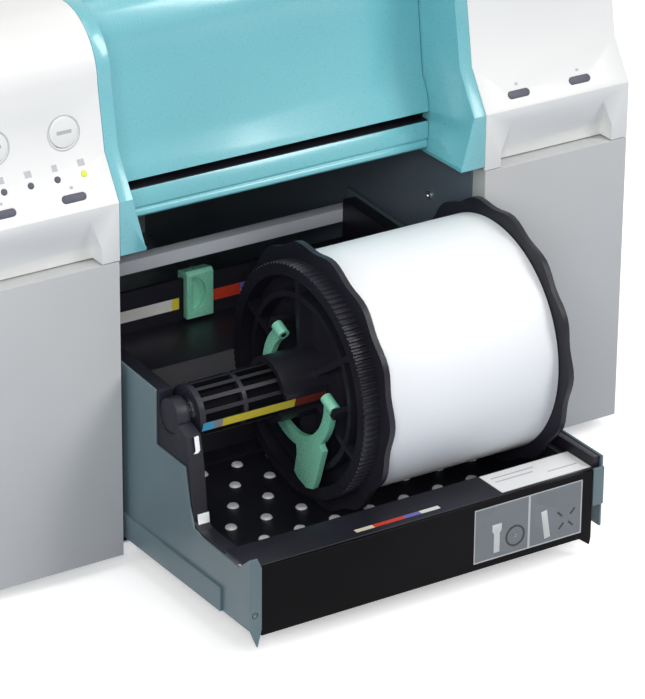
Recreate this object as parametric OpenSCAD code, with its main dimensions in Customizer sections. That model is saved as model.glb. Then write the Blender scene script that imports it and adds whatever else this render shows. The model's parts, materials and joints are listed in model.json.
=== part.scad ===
// Compact roll-fed photo printer with its paper drawer pulled out.
// Lengths are in millimetres, +Z is up and the drawer opens towards -Y.
// Inside the modules, y = 0 is the front plane of the two ink doors.

/* [Cabinet] */
// Width over both towers
body_w = 490; // [484:1:510]
// Depth of the cabinet, without the drawer
body_d = 430; // [424:1:460]
// Height to the top of the towers
body_h = 354; // [350:1:364]
// Clear width between the towers
opening_w = 267; // [265:1:271]
// Height of the rubber feet
foot_h = 8; // [6.5:0.5:8.5]
// Radius of a rubber foot
foot_r = 11; // [8:1:14]
// Wall of the plastic covers
wall = 2.5; // [2:0.1:2.8]
// Thickness of the steel sheet
sheet = 1.5; // [1:0.1:1.8]
// Seam between neighbouring covers
seam = 0.8; // [0.4:0.1:0.9]

/* [Tower profile] */
// Distance of the seam above the ink doors from the top
door_drop = 146; // [145:1:150]
// Distance of the control ledge's front crease from the top
ledge_drop = 108; // [105:1:111]
// Rise of the sloping ledge
ledge_rise = 27; // [23:1:30]
// Depth of the sloping ledge
ledge_depth = 17; // [13:1:20]
// How far the upper face leans back
face_lean = 7; // [5:0.5:9]
// Radius of the shoulder above the upper face
shoulder_r = 40; // [34:1:44]
// Depth of the finger recess over a door
recess_d = 12; // [9:1:14]
// Height of the finger recess
recess_h = 29; // [24:1:33]

/* [Ink doors] */
// Depth of a door's rim
door_d = 14; // [11:1:16]
// Distance of the hinge axis from the door's front and bottom edges
hinge_in = 6; // [5.6:0.1:6.5]
// Radius of the hinge pins
pin_r = 2; // [1.5:0.1:2.2]

/* [Centre cover] */
// Width of the trim band along the top of each tower
band_w = 9; // [7:0.5:11]
// Width of the cheek at its lower end
cheek_w = 18; // [15:0.5:20]
// Distance of the cheeks' lower end from the top
cheek_drop = 143; // [141:0.5:143.5]
// Depth of the recessed centre at the print slot
slot_y = 46; // [42:1:50]
// Distance of the slot's lower edge from the top
slot_drop = 123; // [122:0.5:124]
// Height of the print slot
slot_h = 5; // [4.6:0.1:6]
// Distance of the crease on the centre cover from the top
crease_drop = 97; // [92:1:102]
// How far the cover's top lies below the towers
cover_drop = 6; // [4:0.5:8]
// Distance of the cover's hinge from the front
cover_hinge_y = 258; // [250:1:266]

/* [Drawer] */
// How far the drawer is pulled out
drawer_out = 142; // [135:1:146]
// Length of the drawer
drawer_len = 292; // [286:1:296]
// Height of the drawer's lower edge
drawer_z = 19; // [18:0.5:20]
// Height of the drawer's front panel
front_h = 41; // [38:1:43]
// Height of the side plates at the rear
plate_top = 145; // [140:1:150]
// Room between the side plates and the cabinet's frames
slide_room = 4; // [3.6:0.1:4.6]
// Width of the front flange of a side plate
flange_w = 8; // [7:0.5:10]
// Height of the tray's floor
tray_z = 30; // [28:0.5:31]
// Thickness of the cradle walls
cradle_w = 10; // [9:0.5:11]
// Spacing of the studs along X
stud_pitch = 25.8; // [22:0.1:30]
// Spacing of the stud rows along Y
stud_row = 23.8; // [21:0.1:25]

/* [Roll and spindle] */
// Distance of the spindle's axis behind the drawer's front
axis_back = 96; // [94:1:99]
// Height of the spindle's axis
axis_z = 122; // [121.5:0.5:123]
// Radius of a flange
flange_r = 86; // [82:1:87]
// Height of the waves on a flange's rim
flange_wave = 1.5; // [0.4:0.1:1.8]
// Radius of the paper roll
paper_r = 76; // [60:1:78]
// Width of the paper
paper_w = 127; // [102:1:130]
// Outer radius of the paper's core
paper_core_r = 42; // [41:0.5:44]
// Radius of the spindle's slotted core
core_r = 17; // [15:0.5:18]
// Radius of the spindle's steel shaft
shaft_r = 8; // [6:0.5:9]
// Radius of the spindle's end bosses
boss_r = 11; // [10:0.5:12]
// Travel of the sliding flange
flange_travel = 30; // [26:1:31]

/* [Print engine] */
// Distance of the deck that carries the print engine from the top
deck_drop = 141; // [140.5:0.1:141.5]
// Radius of the feed and exit rollers
roller_r = 8.5; // [7.5:0.1:8.8]
// Radius of the roller shafts
roller_shaft_r = 4; // [3:0.1:5]
// Teeth of the feed roller's gear
gear_teeth = 24; // [24:12:24]
// Teeth of the motor's pinion
pinion_teeth = 12; // [12:12:12]
// Module of the gear pair
gear_module = 0.75; // [0.7:0.01:0.76]
// Radius of the carriage rail
rail_r = 6; // [5:0.5:7]
// Radius of the belt pulleys
pulley_r = 10; // [8:0.5:12]

/* [Controls] */
// Radius of the round buttons
button_r = 9.6; // [8.5:0.1:10.5]
// Travel of a button
button_travel = 1.5; // [1:0.1:1.8]
// Spacing of the ink lamps, and of the two inks of a tower
ink_pitch = 47.5; // [46:0.5:49]
// Spacing of the status lamps
lamp_pitch = 18; // [15:0.5:20]

/* [Fits] */
// Radial clearance of a turning shaft
run_fit = 0.05; // [0.02:0.01:0.1]
// Clearance between sliding and swinging parts
free_gap = 0.3; // [0.25:0.05:0.4]

/* [Hidden] */
$fn = 64;
eps = 0.01;
over = 1;

xo = body_w / 2;
xi = opening_w / 2;
door_top = body_h - door_drop;
ledge_z = body_h - ledge_drop;
cheek_z = body_h - cheek_drop;
slot_z = body_h - slot_drop;
crease_z = body_h - crease_drop;
deck_z = body_h - deck_drop;
frame_y = -(body_d - drawer_out) / 2;
rear_y = body_d - wall;
base_top = foot_h + sheet;
door_y2 = door_d + seam;

ledge_top = ledge_z + ledge_rise;
face_y = ledge_depth + face_lean;
face_z = body_h - shoulder_r;
face_back = atan2(face_lean, face_z - ledge_top);
face_tilt = 90 - face_back;
face_wall = wall * (cos(face_back) + sin(face_back));
ledge_tilt = atan2(ledge_rise, ledge_depth);
cover_z = door_top + seam / 2;

// Tower middle lines
tower_mid = (xo + xi) / 2;
ink_x = [tower_mid - ink_pitch / 2 - 4, tower_mid + ink_pitch / 2 - 4];

// Centre recess
wall_low = xi - seam / 2 - cheek_w;
wall_high = xi - seam / 2 - band_w;
bezel_x = xi - seam / 2;
cover_top = body_h - cover_drop;
slot_top = slot_z + slot_h;
crease_y = slot_y + 12;
cover_face_z = cover_top - 30;
hinge_z = cover_top - 5;
cover_end = cover_hinge_y + 4;
fixed_top_y = cover_end + 4;

// Drawer places
yf = -drawer_out;
ya = yf + axis_back;
yr = yf + drawer_len;
plate_x = xi - slide_room;
plate_in = plate_x - sheet;
front_z2 = drawer_z + front_h;
panel_t = 3.5;
panel_z = drawer_z - 5;
flange_foot = 12;
rail_rise = 8;
shelf_d = 28;
slope_run = 32;
cradle_in = plate_in - cradle_w;
step_y = ya + flange_r + 3;
step_h = 9;
rear_rise = 44;
rail_t = slide_room / 2 - free_gap / 2;
guide_y = yr - 8;
guide_top = plate_top - 33;
bar_z1 = plate_top - 10;
bar_z0 = bar_z1 - 9;

// Spindle places along X
end_x = plate_in - 0.5;
core_x = cradle_in - free_gap - 6;
edge_x = 5;
core_left = cradle_in - free_gap - 2;
flange_t = 13;
fixed_t = 6;
tooth_r = flange_r - 12;
fixed_face_x = core_x - fixed_t + 1;
paper_x1 = fixed_face_x - 0.4;
paper_x0 = paper_x1 - paper_w;
slide_face_x = paper_x0 - 0.4;
plug_l = 18;
plug_r = paper_core_r - 4.3;
hub_r = core_r + 4;
hub_l = 37.5;
strip_turn = 197;
strip_half = 3.2;
lever_turn = 25.6;
lever_x = slide_face_x - flange_t - 4.6;
lever_t = 4;
lever_pivot = 19.8;
lever_pin_r = 1.8;
lever_ring = 31;
lever_rim = 39;
lever_off = 6;
hub_clear = 1.8;

// Engine places
deck_top = deck_z + sheet;
roller_z = deck_top + roller_r + 1;
roller_top = roller_z + roller_r;
exit_y = 90;
feed_y = 240;
platen_top = roller_top - 1.5;
platen_w = 112;
side_x = platen_w + 8;
side_t = 3;
gear_x0 = side_x + side_t + 2;
cap_hw = 30;
nozzle_hw = 22;
guide_hw = 24;
head_y0 = feed_y - 94;
head_y1 = feed_y - 34;
gear_t = 6;
gear_pitch_r = gear_module * gear_teeth / 2;
pinion_pitch_r = gear_module * pinion_teeth / 2;
gear_axis = gear_pitch_r + pinion_pitch_r + 0.12;
pinion_y = feed_y + gear_axis * cos(45);
pinion_z = roller_z + gear_axis * sin(45);
pinch_r = 6;
pinch_z = roller_top + free_gap + pinch_r;
carriage_hw = 32;
carriage_z0 = platen_top + 3;
carriage_z1 = carriage_z0 + 52;
rail_y = 222;
rail_z = carriage_z0 + 36;
rail_end = xo - wall - 10;
belt_t = 1.4;
belt_y = 240;
belt_w = 6;
belt_in_r = pulley_r + free_gap;
pulley_x = xo - wall - 32;
park_x = (side_x + side_t + pulley_x) / 2;
belt_z = carriage_z1 + pulley_r + 6;
motor_shaft_r = 2;

// Bay and services
bay_z = 34;
bay_x0 = xi + sheet;
bay_x1 = xo - wall - sheet;
cell_w = (bay_x1 - bay_x0 - 6) / 2;
hinge_arm = 14;
bay_y0 = door_y2 + hinge_arm + 2;
cart_y0 = bay_y0 + 2;
cart_y1 = 218;
fan_x = tower_mid;
fan_z = 130;
fan_size = 80;
fan_d = 25;
inlet_x = -tower_mid;
inlet_z = 62;
port_x = 70;
port_z = deck_z - 63;
supply_h = 62;

// Helpers
module place() {
    translate([0, frame_y, 0]) children();
}

module bx(x0, x1, y0, y1, z0, z1) {
    translate([x0, y0, z0]) cube([x1 - x0, y1 - y0, z1 - z0]);
}

// Outline in (y, z), drawn out along X
module xprism(pts, x0, x1) {
    translate([x0, 0, 0]) rotate([90, 0, 90]) linear_extrude(x1 - x0) polygon(pts);
}

// Outline in (x, z), drawn out along Y
module yprism(pts, y0, y1) {
    translate([0, y1, 0]) rotate([90, 0, 0]) linear_extrude(y1 - y0) polygon(pts);
}

module xcyl(r, x0, x1, y, z) {
    translate([x0, y, z]) rotate([0, 90, 0]) cylinder(r = r, h = x1 - x0);
}

module ycyl(r, y0, y1, x, z) {
    translate([x, y0, z]) rotate([-90, 0, 0]) cylinder(r = r, h = y1 - y0);
}

module both_sides() {
    children();
    mirror([1, 0, 0]) children();
}

function arc(cy, cz, r, a0, a1, n) = [for (i = [0:n])
    let (a = a0 + (a1 - a0) * i / n) [cy + r * cos(a), cz + r * sin(a)]];

// Side outline of a tower from its lower edge to the rear
function tower_outline(y1, z0) = concat(
    [[0, z0], [0, ledge_z], [ledge_depth, ledge_top]],
    arc(face_y + shoulder_r, face_z, shoulder_r, 180, 90, 14),
    [[y1, body_h], [y1, z0]]);

// Involute gear outline with a little backlash
function inv(a) = tan(a) * 180 / PI - a;
function flank(n, m, r) = let (rp = m * n / 2, rb = rp * cos(20))
    (PI * m / 2 - 0.14) / 2 / rp * 180 / PI + inv(20) - inv(acos(min(1, rb / r)));
function gear_outline(n, m) = let (rp = m * n / 2, ro = rp + m, rr = rp - 1.25 * m,
    rb = max(rr, rp * cos(20)), rs = [for (i = [0:4]) rb + (ro - rb) * i / 4])
    [for (k = [0:n - 1]) let (c = 360 * k / n) each concat(
        [[c - flank(n, m, rb), rr]], [for (r = rs) [c - flank(n, m, r), r]],
        [for (i = [4:-1:0]) [c + flank(n, m, rs[i]), rs[i]]], [[c + flank(n, m, rb), rr]])];
function polar(p) = [p[1] * cos(p[0]), p[1] * sin(p[0])];

module gear(n, m, x0, x1, y, z) {
    translate([0, y, z]) xprism([for (p = gear_outline(n, m)) polar(p)], x0, x1);
}

// Places a shape on the leaning upper face or on the sloping ledge, with its Z pointing out
module on_face(x, z) {
    y = ledge_depth + face_lean * (z - ledge_top) / (face_z - ledge_top);
    translate([x, y, z]) rotate([face_tilt, 0, 0]) children();
}

module on_ledge(x, t) {
    translate([x, ledge_depth * t, ledge_z + ledge_rise * t]) rotate([ledge_tilt, 0, 0]) children();
}

// Cabinet
module base_pan() {
    color("#8f979b") place() {
        bx(-xo + wall, xo - wall, door_y2, rear_y, foot_h, base_top);
        both_sides() bx(xo - wall - sheet, xo - wall, bay_y0, rear_y, base_top - eps, base_top + 18);
    }
}

module rubber_feet() {
    inset = 34;
    color("#2b2b2b") place() both_sides() for (y = [inset, rear_y - inset])
        translate([xo - inset, y, 0]) cylinder(r = foot_r, h = foot_h);
}

module side_cover() {
    slot_n = 7;
    difference() {
        bx(xo - wall, xo, door_y2, rear_y, foot_h + seam / 2, cover_z - seam);
        for (i = [0:slot_n - 1])
            bx(xo - wall - over, xo + over, rear_y - 150, rear_y - 60, 40 + 9 * i, 44 + 9 * i);
    }
}

module left_side_cover() {
    color("#c9caca") place() mirror([1, 0, 0]) side_cover();
}

module right_side_cover() {
    color("#c9caca") place() side_cover();
}

module rear_cover() {
    slot_n = 8;
    color("#c9caca") place() difference() {
        bx(-xo, xo, rear_y, body_d, foot_h + seam / 2, body_h);
        for (i = [0:slot_n - 1]) {
            x = fan_x + (i - (slot_n - 1) / 2) * 8;
            half = sqrt(pow(fan_size / 2 - 4, 2) - pow(x - fan_x, 2));
            bx(x - 2.2, x + 2.2, rear_y - over, body_d + over, fan_z - half, fan_z + half);
        }
        inlet_block(0.2, rear_y - over, body_d + over);
        port_block(0.2, rear_y - over, body_d + over);
        for (z = [body_h - 54, body_h - 114]) for (i = [-5:5])
            bx(i * 20 - 7, i * 20 + 7, rear_y - over, body_d + over, z, z + 5);
    }
}

module finger_recess(g) {
    z0 = cover_z - over;
    z1 = cover_z + recess_h;
    half_low = 43.5;
    half_high = 36;
    intersection() {
        xprism([[-over, z0], [recess_d + g, z0], [recess_d + g, cover_z + 6],
            [0, z1 + g * 2], [-over, z1 + g * 2]], xi, xo);
        yprism([[tower_mid - half_low - g, z0], [tower_mid + half_low + g, z0],
            [tower_mid + half_low + g, cover_z + 10], [tower_mid + half_high + g, z1 + g * 2],
            [tower_mid - half_high - g, z1 + g * 2], [tower_mid - half_low - g, cover_z + 10]],
            -over, recess_d + g + over);
    }
}

module tower_cover() {
    difference() {
        xprism(tower_outline(rear_y, cover_z), xi, xo);
        difference() {
            translate([0, wall, -wall])
                xprism(tower_outline(rear_y + over, cover_z - over), xi - over, xo - wall);
            finger_recess(wall);
        }
        finger_recess(0);
        for (x = ink_x) ink_lamp(x, 0.1);
    }
}

module left_tower_cover() {
    color("#ededeb") place() difference() {
        mirror([1, 0, 0]) tower_cover();
        for (i = [0:3]) status_lamp(i, 0.1);
        for (x = button_x) button(x, free_gap, 4);
    }
}

module right_tower_cover() {
    color("#ededeb") place() tower_cover();
}

// Teal centre: cheeks and trim bands, with a fixed panel behind the hinged cover
module bezel_half() {
    wall_y = crease_y + 22;
    band = tower_outline(rear_y, ledge_z);
    difference() {
        xprism(band, wall_high, bezel_x);
        translate([0, wall, -wall]) xprism(tower_outline(rear_y + over, ledge_z - over),
            wall_high + wall, bezel_x + over);
        translate([0, wall_y, -24]) xprism(tower_outline(rear_y, ledge_z - 40),
            wall_high - over, bezel_x + over);
        xcyl(pin_r, wall_high - over, wall_high + wall + over, cover_hinge_y, hinge_z);
    }
    yprism([[wall_low, cheek_z], [bezel_x, cheek_z], [bezel_x, ledge_z], [wall_high, ledge_z]], 0, wall);
    yprism([[wall_low, cheek_z], [wall_low + wall, cheek_z], [wall_high + wall, ledge_z],
        [wall_high, ledge_z]], 0, slot_y + 6);
    bx(wall_low, bezel_x, 0, slot_y + 6, cheek_z, cheek_z + wall - eps);
}

module centre_bezel() {
    color("#6fbfc7") place() {
        both_sides() {
            bezel_half();
            xcyl(pin_r, wall_high - 12, wall_high + wall, cover_hinge_y, hinge_z);
        }
        bx(-wall_high - eps, wall_high + eps, fixed_top_y, rear_y, cover_top - wall, cover_top);
    }
}

module exit_lip() {
    // Front strip with a groove and a bright lower lip, and a flat guide behind it
    back = exit_y - roller_r - 4;
    lip = slot_y - 7;
    low = deck_z + 1;
    h = slot_z - low;
    strip = [[lip, low + 1.5], [lip + 1, low + 4], [lip + 2.5, low + 5], [lip + 1.6, low + 6.2],
        [slot_y - 2.5, slot_z - 2], [slot_y - 1, slot_z], [back, slot_z], [back, slot_z - wall],
        [slot_y + 2, slot_z - wall], [slot_y + 4, deck_top], [slot_y + 4 - wall, deck_top],
        [lip + 3, low], [lip + 1, low]];
    t = (low - cheek_z) / (ledge_z - cheek_z);
    u = (slot_z - cheek_z) / (ledge_z - cheek_z);
    x0 = wall_low + (wall_high - wall_low) * t - free_gap;
    x1 = wall_low + (wall_high - wall_low) * u - free_gap;
    color("#7cc4cc") place() intersection() {
        xprism(strip, -xi, xi);
        yprism([[-x0, low], [x0, low], [x1, low + h], [-x1, low + h]], 0, back + over);
    }
}

module inner_frames() {
    color("#4a545c") place() both_sides() bx(xi, xi + sheet, door_y2, rear_y, base_top, deck_z);
}

module print_deck() {
    color("#8f979b") place() difference() {
        bx(-xo + wall, xo - wall, slot_y + 4 - wall, rear_y, deck_z, deck_top);
        bx(-platen_w - 6, platen_w + 6, feed_y + 16, feed_y + 56, deck_z - over, deck_top + over);
        both_sides() {
            bx(xi + sheet, xo, 0, slot_y + 10, deck_z - over, deck_top + over);
            bx(wall_low - free_gap, xo, 0, slot_y + 6 + free_gap, deck_z - over, deck_top + over);
        }
        bx(gear_x0 - 1, gear_x0 + gear_t + 1, feed_y - 8, feed_y + 8, deck_z - over, deck_top + over);
    }
}

// Print engine
module platen() {
    rib_n = 12;
    color("#26262c") place() {
        bx(-platen_w, platen_w, exit_y + 40, feed_y - 26, deck_top, platen_top - 2);
        for (i = [0:rib_n - 1]) {
            x = -platen_w + 8 + i * (2 * platen_w - 16) / (rib_n - 1);
            bx(x - 1.5, x + 1.5, exit_y + 42, feed_y - 28, platen_top - 2 - eps, platen_top);
        }
    }
}

module roller_brackets() {
    color("#8f979b") place() both_sides() difference() {
        bx(side_x, side_x + side_t, exit_y - 14, feed_y + 12, deck_top, pinch_z + 7);
        for (y = [exit_y, feed_y])
            xcyl(roller_shaft_r + run_fit, side_x - over, side_x + side_t + over, y, roller_z);
        xcyl(3 + run_fit, side_x - over, side_x + side_t + over, feed_y, pinch_z);
        bx(side_x - over, side_x + side_t + over, exit_y + 36, feed_y - 22, platen_top - 1,
            pinch_z + 7 + over);
    }
}

module carriage_rail() {
    color("#c3c7cb") place() {
        xcyl(rail_r, -rail_end, rail_end, rail_y, rail_z);
        both_sides() difference() {
            bx(rail_end - 6, rail_end, rail_y - 9, rail_y + 9, deck_top, rail_z + 10);
            xcyl(rail_r, rail_end - 6 - over, rail_end + over, rail_y, rail_z);
        }
        bx(pulley_x - 9, pulley_x + 9, belt_y + belt_w + 3, belt_y + belt_w + 5, deck_top, belt_z + 8);
        ycyl(motor_shaft_r, belt_y - 1, belt_y + belt_w + 3 + eps, pulley_x, belt_z);
    }
}

module carriage_belt() {
    ro = belt_in_r + belt_t;
    color("#202022") place() difference() {
        union() {
            bx(-pulley_x, pulley_x, belt_y, belt_y + belt_w, belt_z - ro, belt_z + ro);
            both_sides() ycyl(ro, belt_y, belt_y + belt_w, pulley_x, belt_z);
        }
        bx(-pulley_x, pulley_x, belt_y - over, belt_y + belt_w + over,
            belt_z - belt_in_r, belt_z + belt_in_r);
        both_sides() ycyl(belt_in_r, belt_y - over, belt_y + belt_w + over, pulley_x, belt_z);
    }
}

module carriage_motor() {
    plate_y = belt_y + belt_w + 3;
    color("#5b5f66") place() {
        bx(-pulley_x - 18, -pulley_x + 18, plate_y, plate_y + 2, deck_top, belt_z + 18);
        ycyl(17, plate_y + 2 - eps, plate_y + 40, -pulley_x, belt_z);
        ycyl(motor_shaft_r, belt_y - 1, plate_y + eps, -pulley_x, belt_z);
    }
}

module capping_station() {
    color("#33343b") place() {
        bx(park_x - cap_hw, park_x + cap_hw, head_y0, head_y1, deck_top, platen_top - 4);
        bx(park_x - nozzle_hw, park_x + nozzle_hw, head_y0 + 10, head_y1 - 10, platen_top - 4 - eps,
            platen_top);
    }
}

module main_board() {
    y1 = rear_y - 10;
    half = xi - 15.5;
    z0 = base_top + supply_h + 24.5;
    z1 = deck_z - 13;
    color("#2f6b45") place() {
        bx(-half, half, y1 - 2, y1, z0, z1);
        for (x = [8 - half, half - 8]) for (z = [z0 + 8, z1 - 8]) ycyl(4, y1 - eps, rear_y, x, z);
        for (x = [-80, -30, 20]) bx(x, x + 26, y1 - 8, y1 - 2 + eps, z0 + 24, z0 + 54);
        difference() {
            port_block(0, y1 - eps, body_d);
            bx(port_x - 4.3, port_x + 4.3, body_d - 9, body_d + over, port_z - 4, port_z + 4);
        }
    }
}

module port_block(g, y0, y1) {
    bx(port_x - 7 - g, port_x + 7 + g, y0, y1, port_z - 7 - g, port_z + 7 + g);
}

module power_supply() {
    color("#9aa0a4") place() bx(-120, 14, rear_y - 104, rear_y - 6, base_top, base_top + supply_h);
}

module inlet_block(g, y0, y1) {
    bx(inlet_x - 15 - g, inlet_x + 15 + g, y0, y1, inlet_z - 11 - g, inlet_z + 11 + g);
}

module power_inlet() {
    color("#1c1c1e") place() difference() {
        union() {
            inlet_block(0, rear_y - 20, body_d);
            inlet_block(4, rear_y - 4, rear_y);
        }
        bx(inlet_x - 12, inlet_x + 12, body_d - 16, body_d + over, inlet_z - 8, inlet_z + 8);
    }
}

module fan_frame() {
    half = fan_size / 2;
    color("#232327") place() {
        difference() {
            bx(fan_x - half, fan_x + half, rear_y - fan_d, rear_y, fan_z - half, fan_z + half);
            ycyl(half - 2, rear_y - fan_d - over, rear_y + over, fan_x, fan_z);
        }
        for (a = [0, 90]) translate([fan_x, 0, fan_z]) rotate([0, 45 + a, 0])
            bx(-half + 1, half - 1, rear_y - 3, rear_y, -2.5, 2.5);
        ycyl(14, rear_y - 4, rear_y, fan_x, fan_z);
        ycyl(pin_r, rear_y - fan_d + 5 + free_gap, rear_y - 4 + eps, fan_x, fan_z);
    }
}

module fan_rotor() {
    blades = 7;
    half = fan_size / 2;
    y0 = rear_y - fan_d + 3;
    y1 = rear_y - 4 - free_gap;
    color("#2a2a2f") place() difference() {
        union() {
            ycyl(17, y0, y1, fan_x, fan_z);
            for (i = [0:blades - 1]) translate([fan_x, (y0 + y1) / 2, fan_z])
                rotate([0, 360 * i / blades, 0]) rotate([0, 0, 0]) translate([15, 0, 0])
                    rotate([35, 0, 0]) translate([0, -1, -9]) cube([half - 19, 2, 18]);
        }
        ycyl(pin_r + run_fit, y0 + 2, y1 + over, fan_x, fan_z);
    }
}

module paper_guide() {
    cy = feed_y + 15;
    r = 46;
    cz = platen_top + 1 - r;
    tail = cz - 60;
    skin = concat(arc(cy, cz, r, 90, 0, 12), [[cy + r, tail], [cy + r + 2, tail]],
        arc(cy, cz, r + 2, 0, 90, 12));
    color("#2b2c33") place() {
        xprism(skin, -platen_w, platen_w);
        both_sides() difference() {
            bx(platen_w - 12, platen_w, cy + r - 20, cy + r + 22, deck_top, deck_top + 8);
            xcyl(r + eps, platen_w - 12 - over, platen_w + over, cy, cz);
        }
    }
}

module feed_motor() {
    x0 = gear_x0 + gear_t + 1;
    color("#5b5f66") place() {
        bx(x0, x0 + 2, pinion_y - 20, pinion_y + 20, deck_top, pinion_z + 18);
        xcyl(16, x0 + 2 - eps, x0 + 34, pinion_y, pinion_z);
        xcyl(motor_shaft_r, gear_x0, x0 + eps, pinion_y, pinion_z);
    }
}

module feed_roller() {
    color("#4b4d55") place() {
        xcyl(roller_r, -platen_w, platen_w, feed_y, roller_z);
        xcyl(roller_shaft_r, -side_x - side_t - 2, gear_x0 + eps, feed_y, roller_z);
        gear(gear_teeth, gear_module, gear_x0, gear_x0 + gear_t, feed_y, roller_z);
    }
}

module feed_pinion() {
    color("#d8d8d2") place() difference() {
        gear(pinion_teeth, gear_module, gear_x0, gear_x0 + gear_t, pinion_y, pinion_z);
        xcyl(motor_shaft_r + run_fit, gear_x0 - over, gear_x0 + gear_t + over, pinion_y, pinion_z);
    }
}

module pinch_rollers() {
    color("#3a3b42") place() {
        xcyl(3, -side_x - side_t, side_x + side_t, feed_y, pinch_z);
        for (i = [0:3]) xcyl(pinch_r, -90 + i * 52, -66 + i * 52, feed_y, pinch_z);
    }
}

module exit_roller() {
    color("#4b4d55") place() {
        xcyl(roller_r, -platen_w, platen_w, exit_y, roller_z);
        xcyl(roller_shaft_r, -side_x - side_t - 2, side_x + side_t + 2, exit_y, roller_z);
    }
}

module carriage() {
    clamp_z = belt_z - belt_in_r - belt_t - free_gap;
    color("#2d2e36") place() difference() {
        union() {
            bx(park_x - carriage_hw, park_x + carriage_hw, head_y0, head_y1, carriage_z0 + 6, carriage_z1);
            bx(park_x - nozzle_hw, park_x + nozzle_hw, head_y0 + 10, head_y1 - 10, carriage_z0,
                carriage_z0 + 6 + eps);
            bx(park_x - guide_hw, park_x + guide_hw, head_y1 - eps, rail_y + 11, rail_z - 10, rail_z + 10);
            bx(park_x - 12, park_x + 12, rail_y + 4, belt_y + belt_w, rail_z + 10 - eps, clamp_z);
        }
        xcyl(rail_r + run_fit, park_x - guide_hw - over, park_x + guide_hw + over, rail_y, rail_z);
    }
}

module pulley(x) {
    difference() {
        ycyl(pulley_r, belt_y, belt_y + belt_w, x, belt_z);
        ycyl(motor_shaft_r + run_fit, belt_y - over, belt_y + belt_w + over, x, belt_z);
    }
}

module drive_pulley() {
    color("#b9bcc0") place() pulley(-pulley_x);
}

module idler_pulley() {
    color("#b9bcc0") place() pulley(pulley_x);
}

// Ink supply
module cartridge_bays() {
    color("#3d4047") place() both_sides() {
        bx(bay_x0, bay_x1, bay_y0, cart_y1 + 4, bay_z, bay_z + 3);
        bx(bay_x0, bay_x1, cart_y1 + 2, cart_y1 + 4, bay_z, door_top - 18);
        for (i = [0:2]) bx(bay_x0 + i * (cell_w + 2), bay_x0 + i * (cell_w + 2) + 2, bay_y0, cart_y1 + 4,
            base_top, door_top - 28);
    }
}

module ink_cartridges() {
    color("#303238") place() both_sides() for (i = [0, 1]) {
        x = bay_x0 + 2 + i * (cell_w + 2);
        bx(x + 4, x + cell_w - 4, cart_y0, cart_y1, bay_z + 3, door_top - 22);
    }
}

// Doors
module ink_door() {
    // Shell whose lower rear corner is rounded about the hinge, so that it clears the cabinet
    swing_r = door_d - hinge_in;
    difference() {
        bx(xi + seam / 2, xo, 0, door_d, foot_h + seam, door_top - seam / 2);
        bx(xi + seam / 2 + wall, xo - wall, wall, door_d + over, foot_h + seam - over,
            door_top - seam / 2 - wall);
        xcyl(pin_r + run_fit, xi - over, xo + over, hinge_in, foot_h + hinge_in);
        difference() {
            bx(xi, xo + over, hinge_in, door_d + over, foot_h, foot_h + hinge_in);
            xcyl(swing_r, xi - over, xo + 2 * over, hinge_in, foot_h + hinge_in);
        }
    }
}

module left_ink_door() {
    color("#c4c5c5") place() mirror([1, 0, 0]) ink_door();
}

module right_ink_door() {
    color("#c4c5c5") place() ink_door();
}

module door_hinges() {
    // Arms on the base pan, each with a pin that runs in a door's side
    arm_t = 5;
    eye_r = hinge_in - wall - 2 * free_gap;
    z = foot_h + hinge_in;
    color("#8f979b") place() both_sides() for (s = [0, 1]) {
        x0 = s == 0 ? xi + seam / 2 + wall + free_gap : xo - wall - free_gap - arm_t;
        xcyl(eye_r, x0, x0 + arm_t, hinge_in, z);
        bx(x0, x0 + arm_t, hinge_in, door_y2 + hinge_arm, z - eye_r, z + eye_r);
        bx(x0, x0 + arm_t, door_y2 + 4, door_y2 + hinge_arm, base_top, z);
        xcyl(pin_r, s == 0 ? xi + seam / 2 : x0, s == 0 ? x0 + arm_t : xo, hinge_in, z);
    }
}

// Hinged centre cover, tapered to the recess at its lower front edge
module top_cover() {
    r = 30;
    front = [[slot_y, slot_top], [crease_y, crease_z], [crease_y + 8, cover_face_z]];
    top = arc(crease_y + 8 + r, cover_top - r, r, 170, 90, 10);
    skin = concat(front, top, [[cover_end, cover_top], [cover_end, cover_top - wall]],
        [for (i = [10:-1:0]) top[i] + [wall, -wall]],
        [[crease_y + 8 + wall, cover_face_z - wall], [crease_y + wall, crease_z - wall / 2],
        [slot_y + 2 * wall, slot_top + wall], [slot_y + 26, slot_top + wall], [slot_y + 26, slot_top]]);
    u = (slot_top - cheek_z) / (ledge_z - cheek_z);
    x0 = wall_low + (wall_high - wall_low) * u - 0.5;
    x1 = wall_high - 0.5;
    ear_x = wall_high - 9;
    color("#79c3cb") place() difference() {
        union() {
            intersection() {
                xprism(skin, -xi, xi);
                yprism([[-x0, slot_top], [x0, slot_top], [x1, ledge_z], [x1, body_h], [-x1, body_h],
                    [-x1, ledge_z]], 0, body_d);
            }
            both_sides() bx(ear_x, ear_x + 6, cover_hinge_y - 5, cover_hinge_y + 4,
                hinge_z - 4, cover_top - wall + eps);
        }
        both_sides() xcyl(pin_r + run_fit, ear_x - over, wall_high + over, cover_hinge_y, hinge_z);
    }
}

// Controls on the left tower
button_x = [-(ink_x[0] - 2), -(ink_x[1] - 2)];
button_z = ledge_top + 17;

module button(x, g, rise) {
    on_face(x, button_z) translate([0, 0, -7]) cylinder(r = button_r + g, h = 7 + rise);
}

module power_button() {
    color("#e6e7e5") place() button(button_x[1], 0, 0.8);
}

module pause_button() {
    color("#e6e7e5") place() button(button_x[0], 0, 0.8);
}

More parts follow.
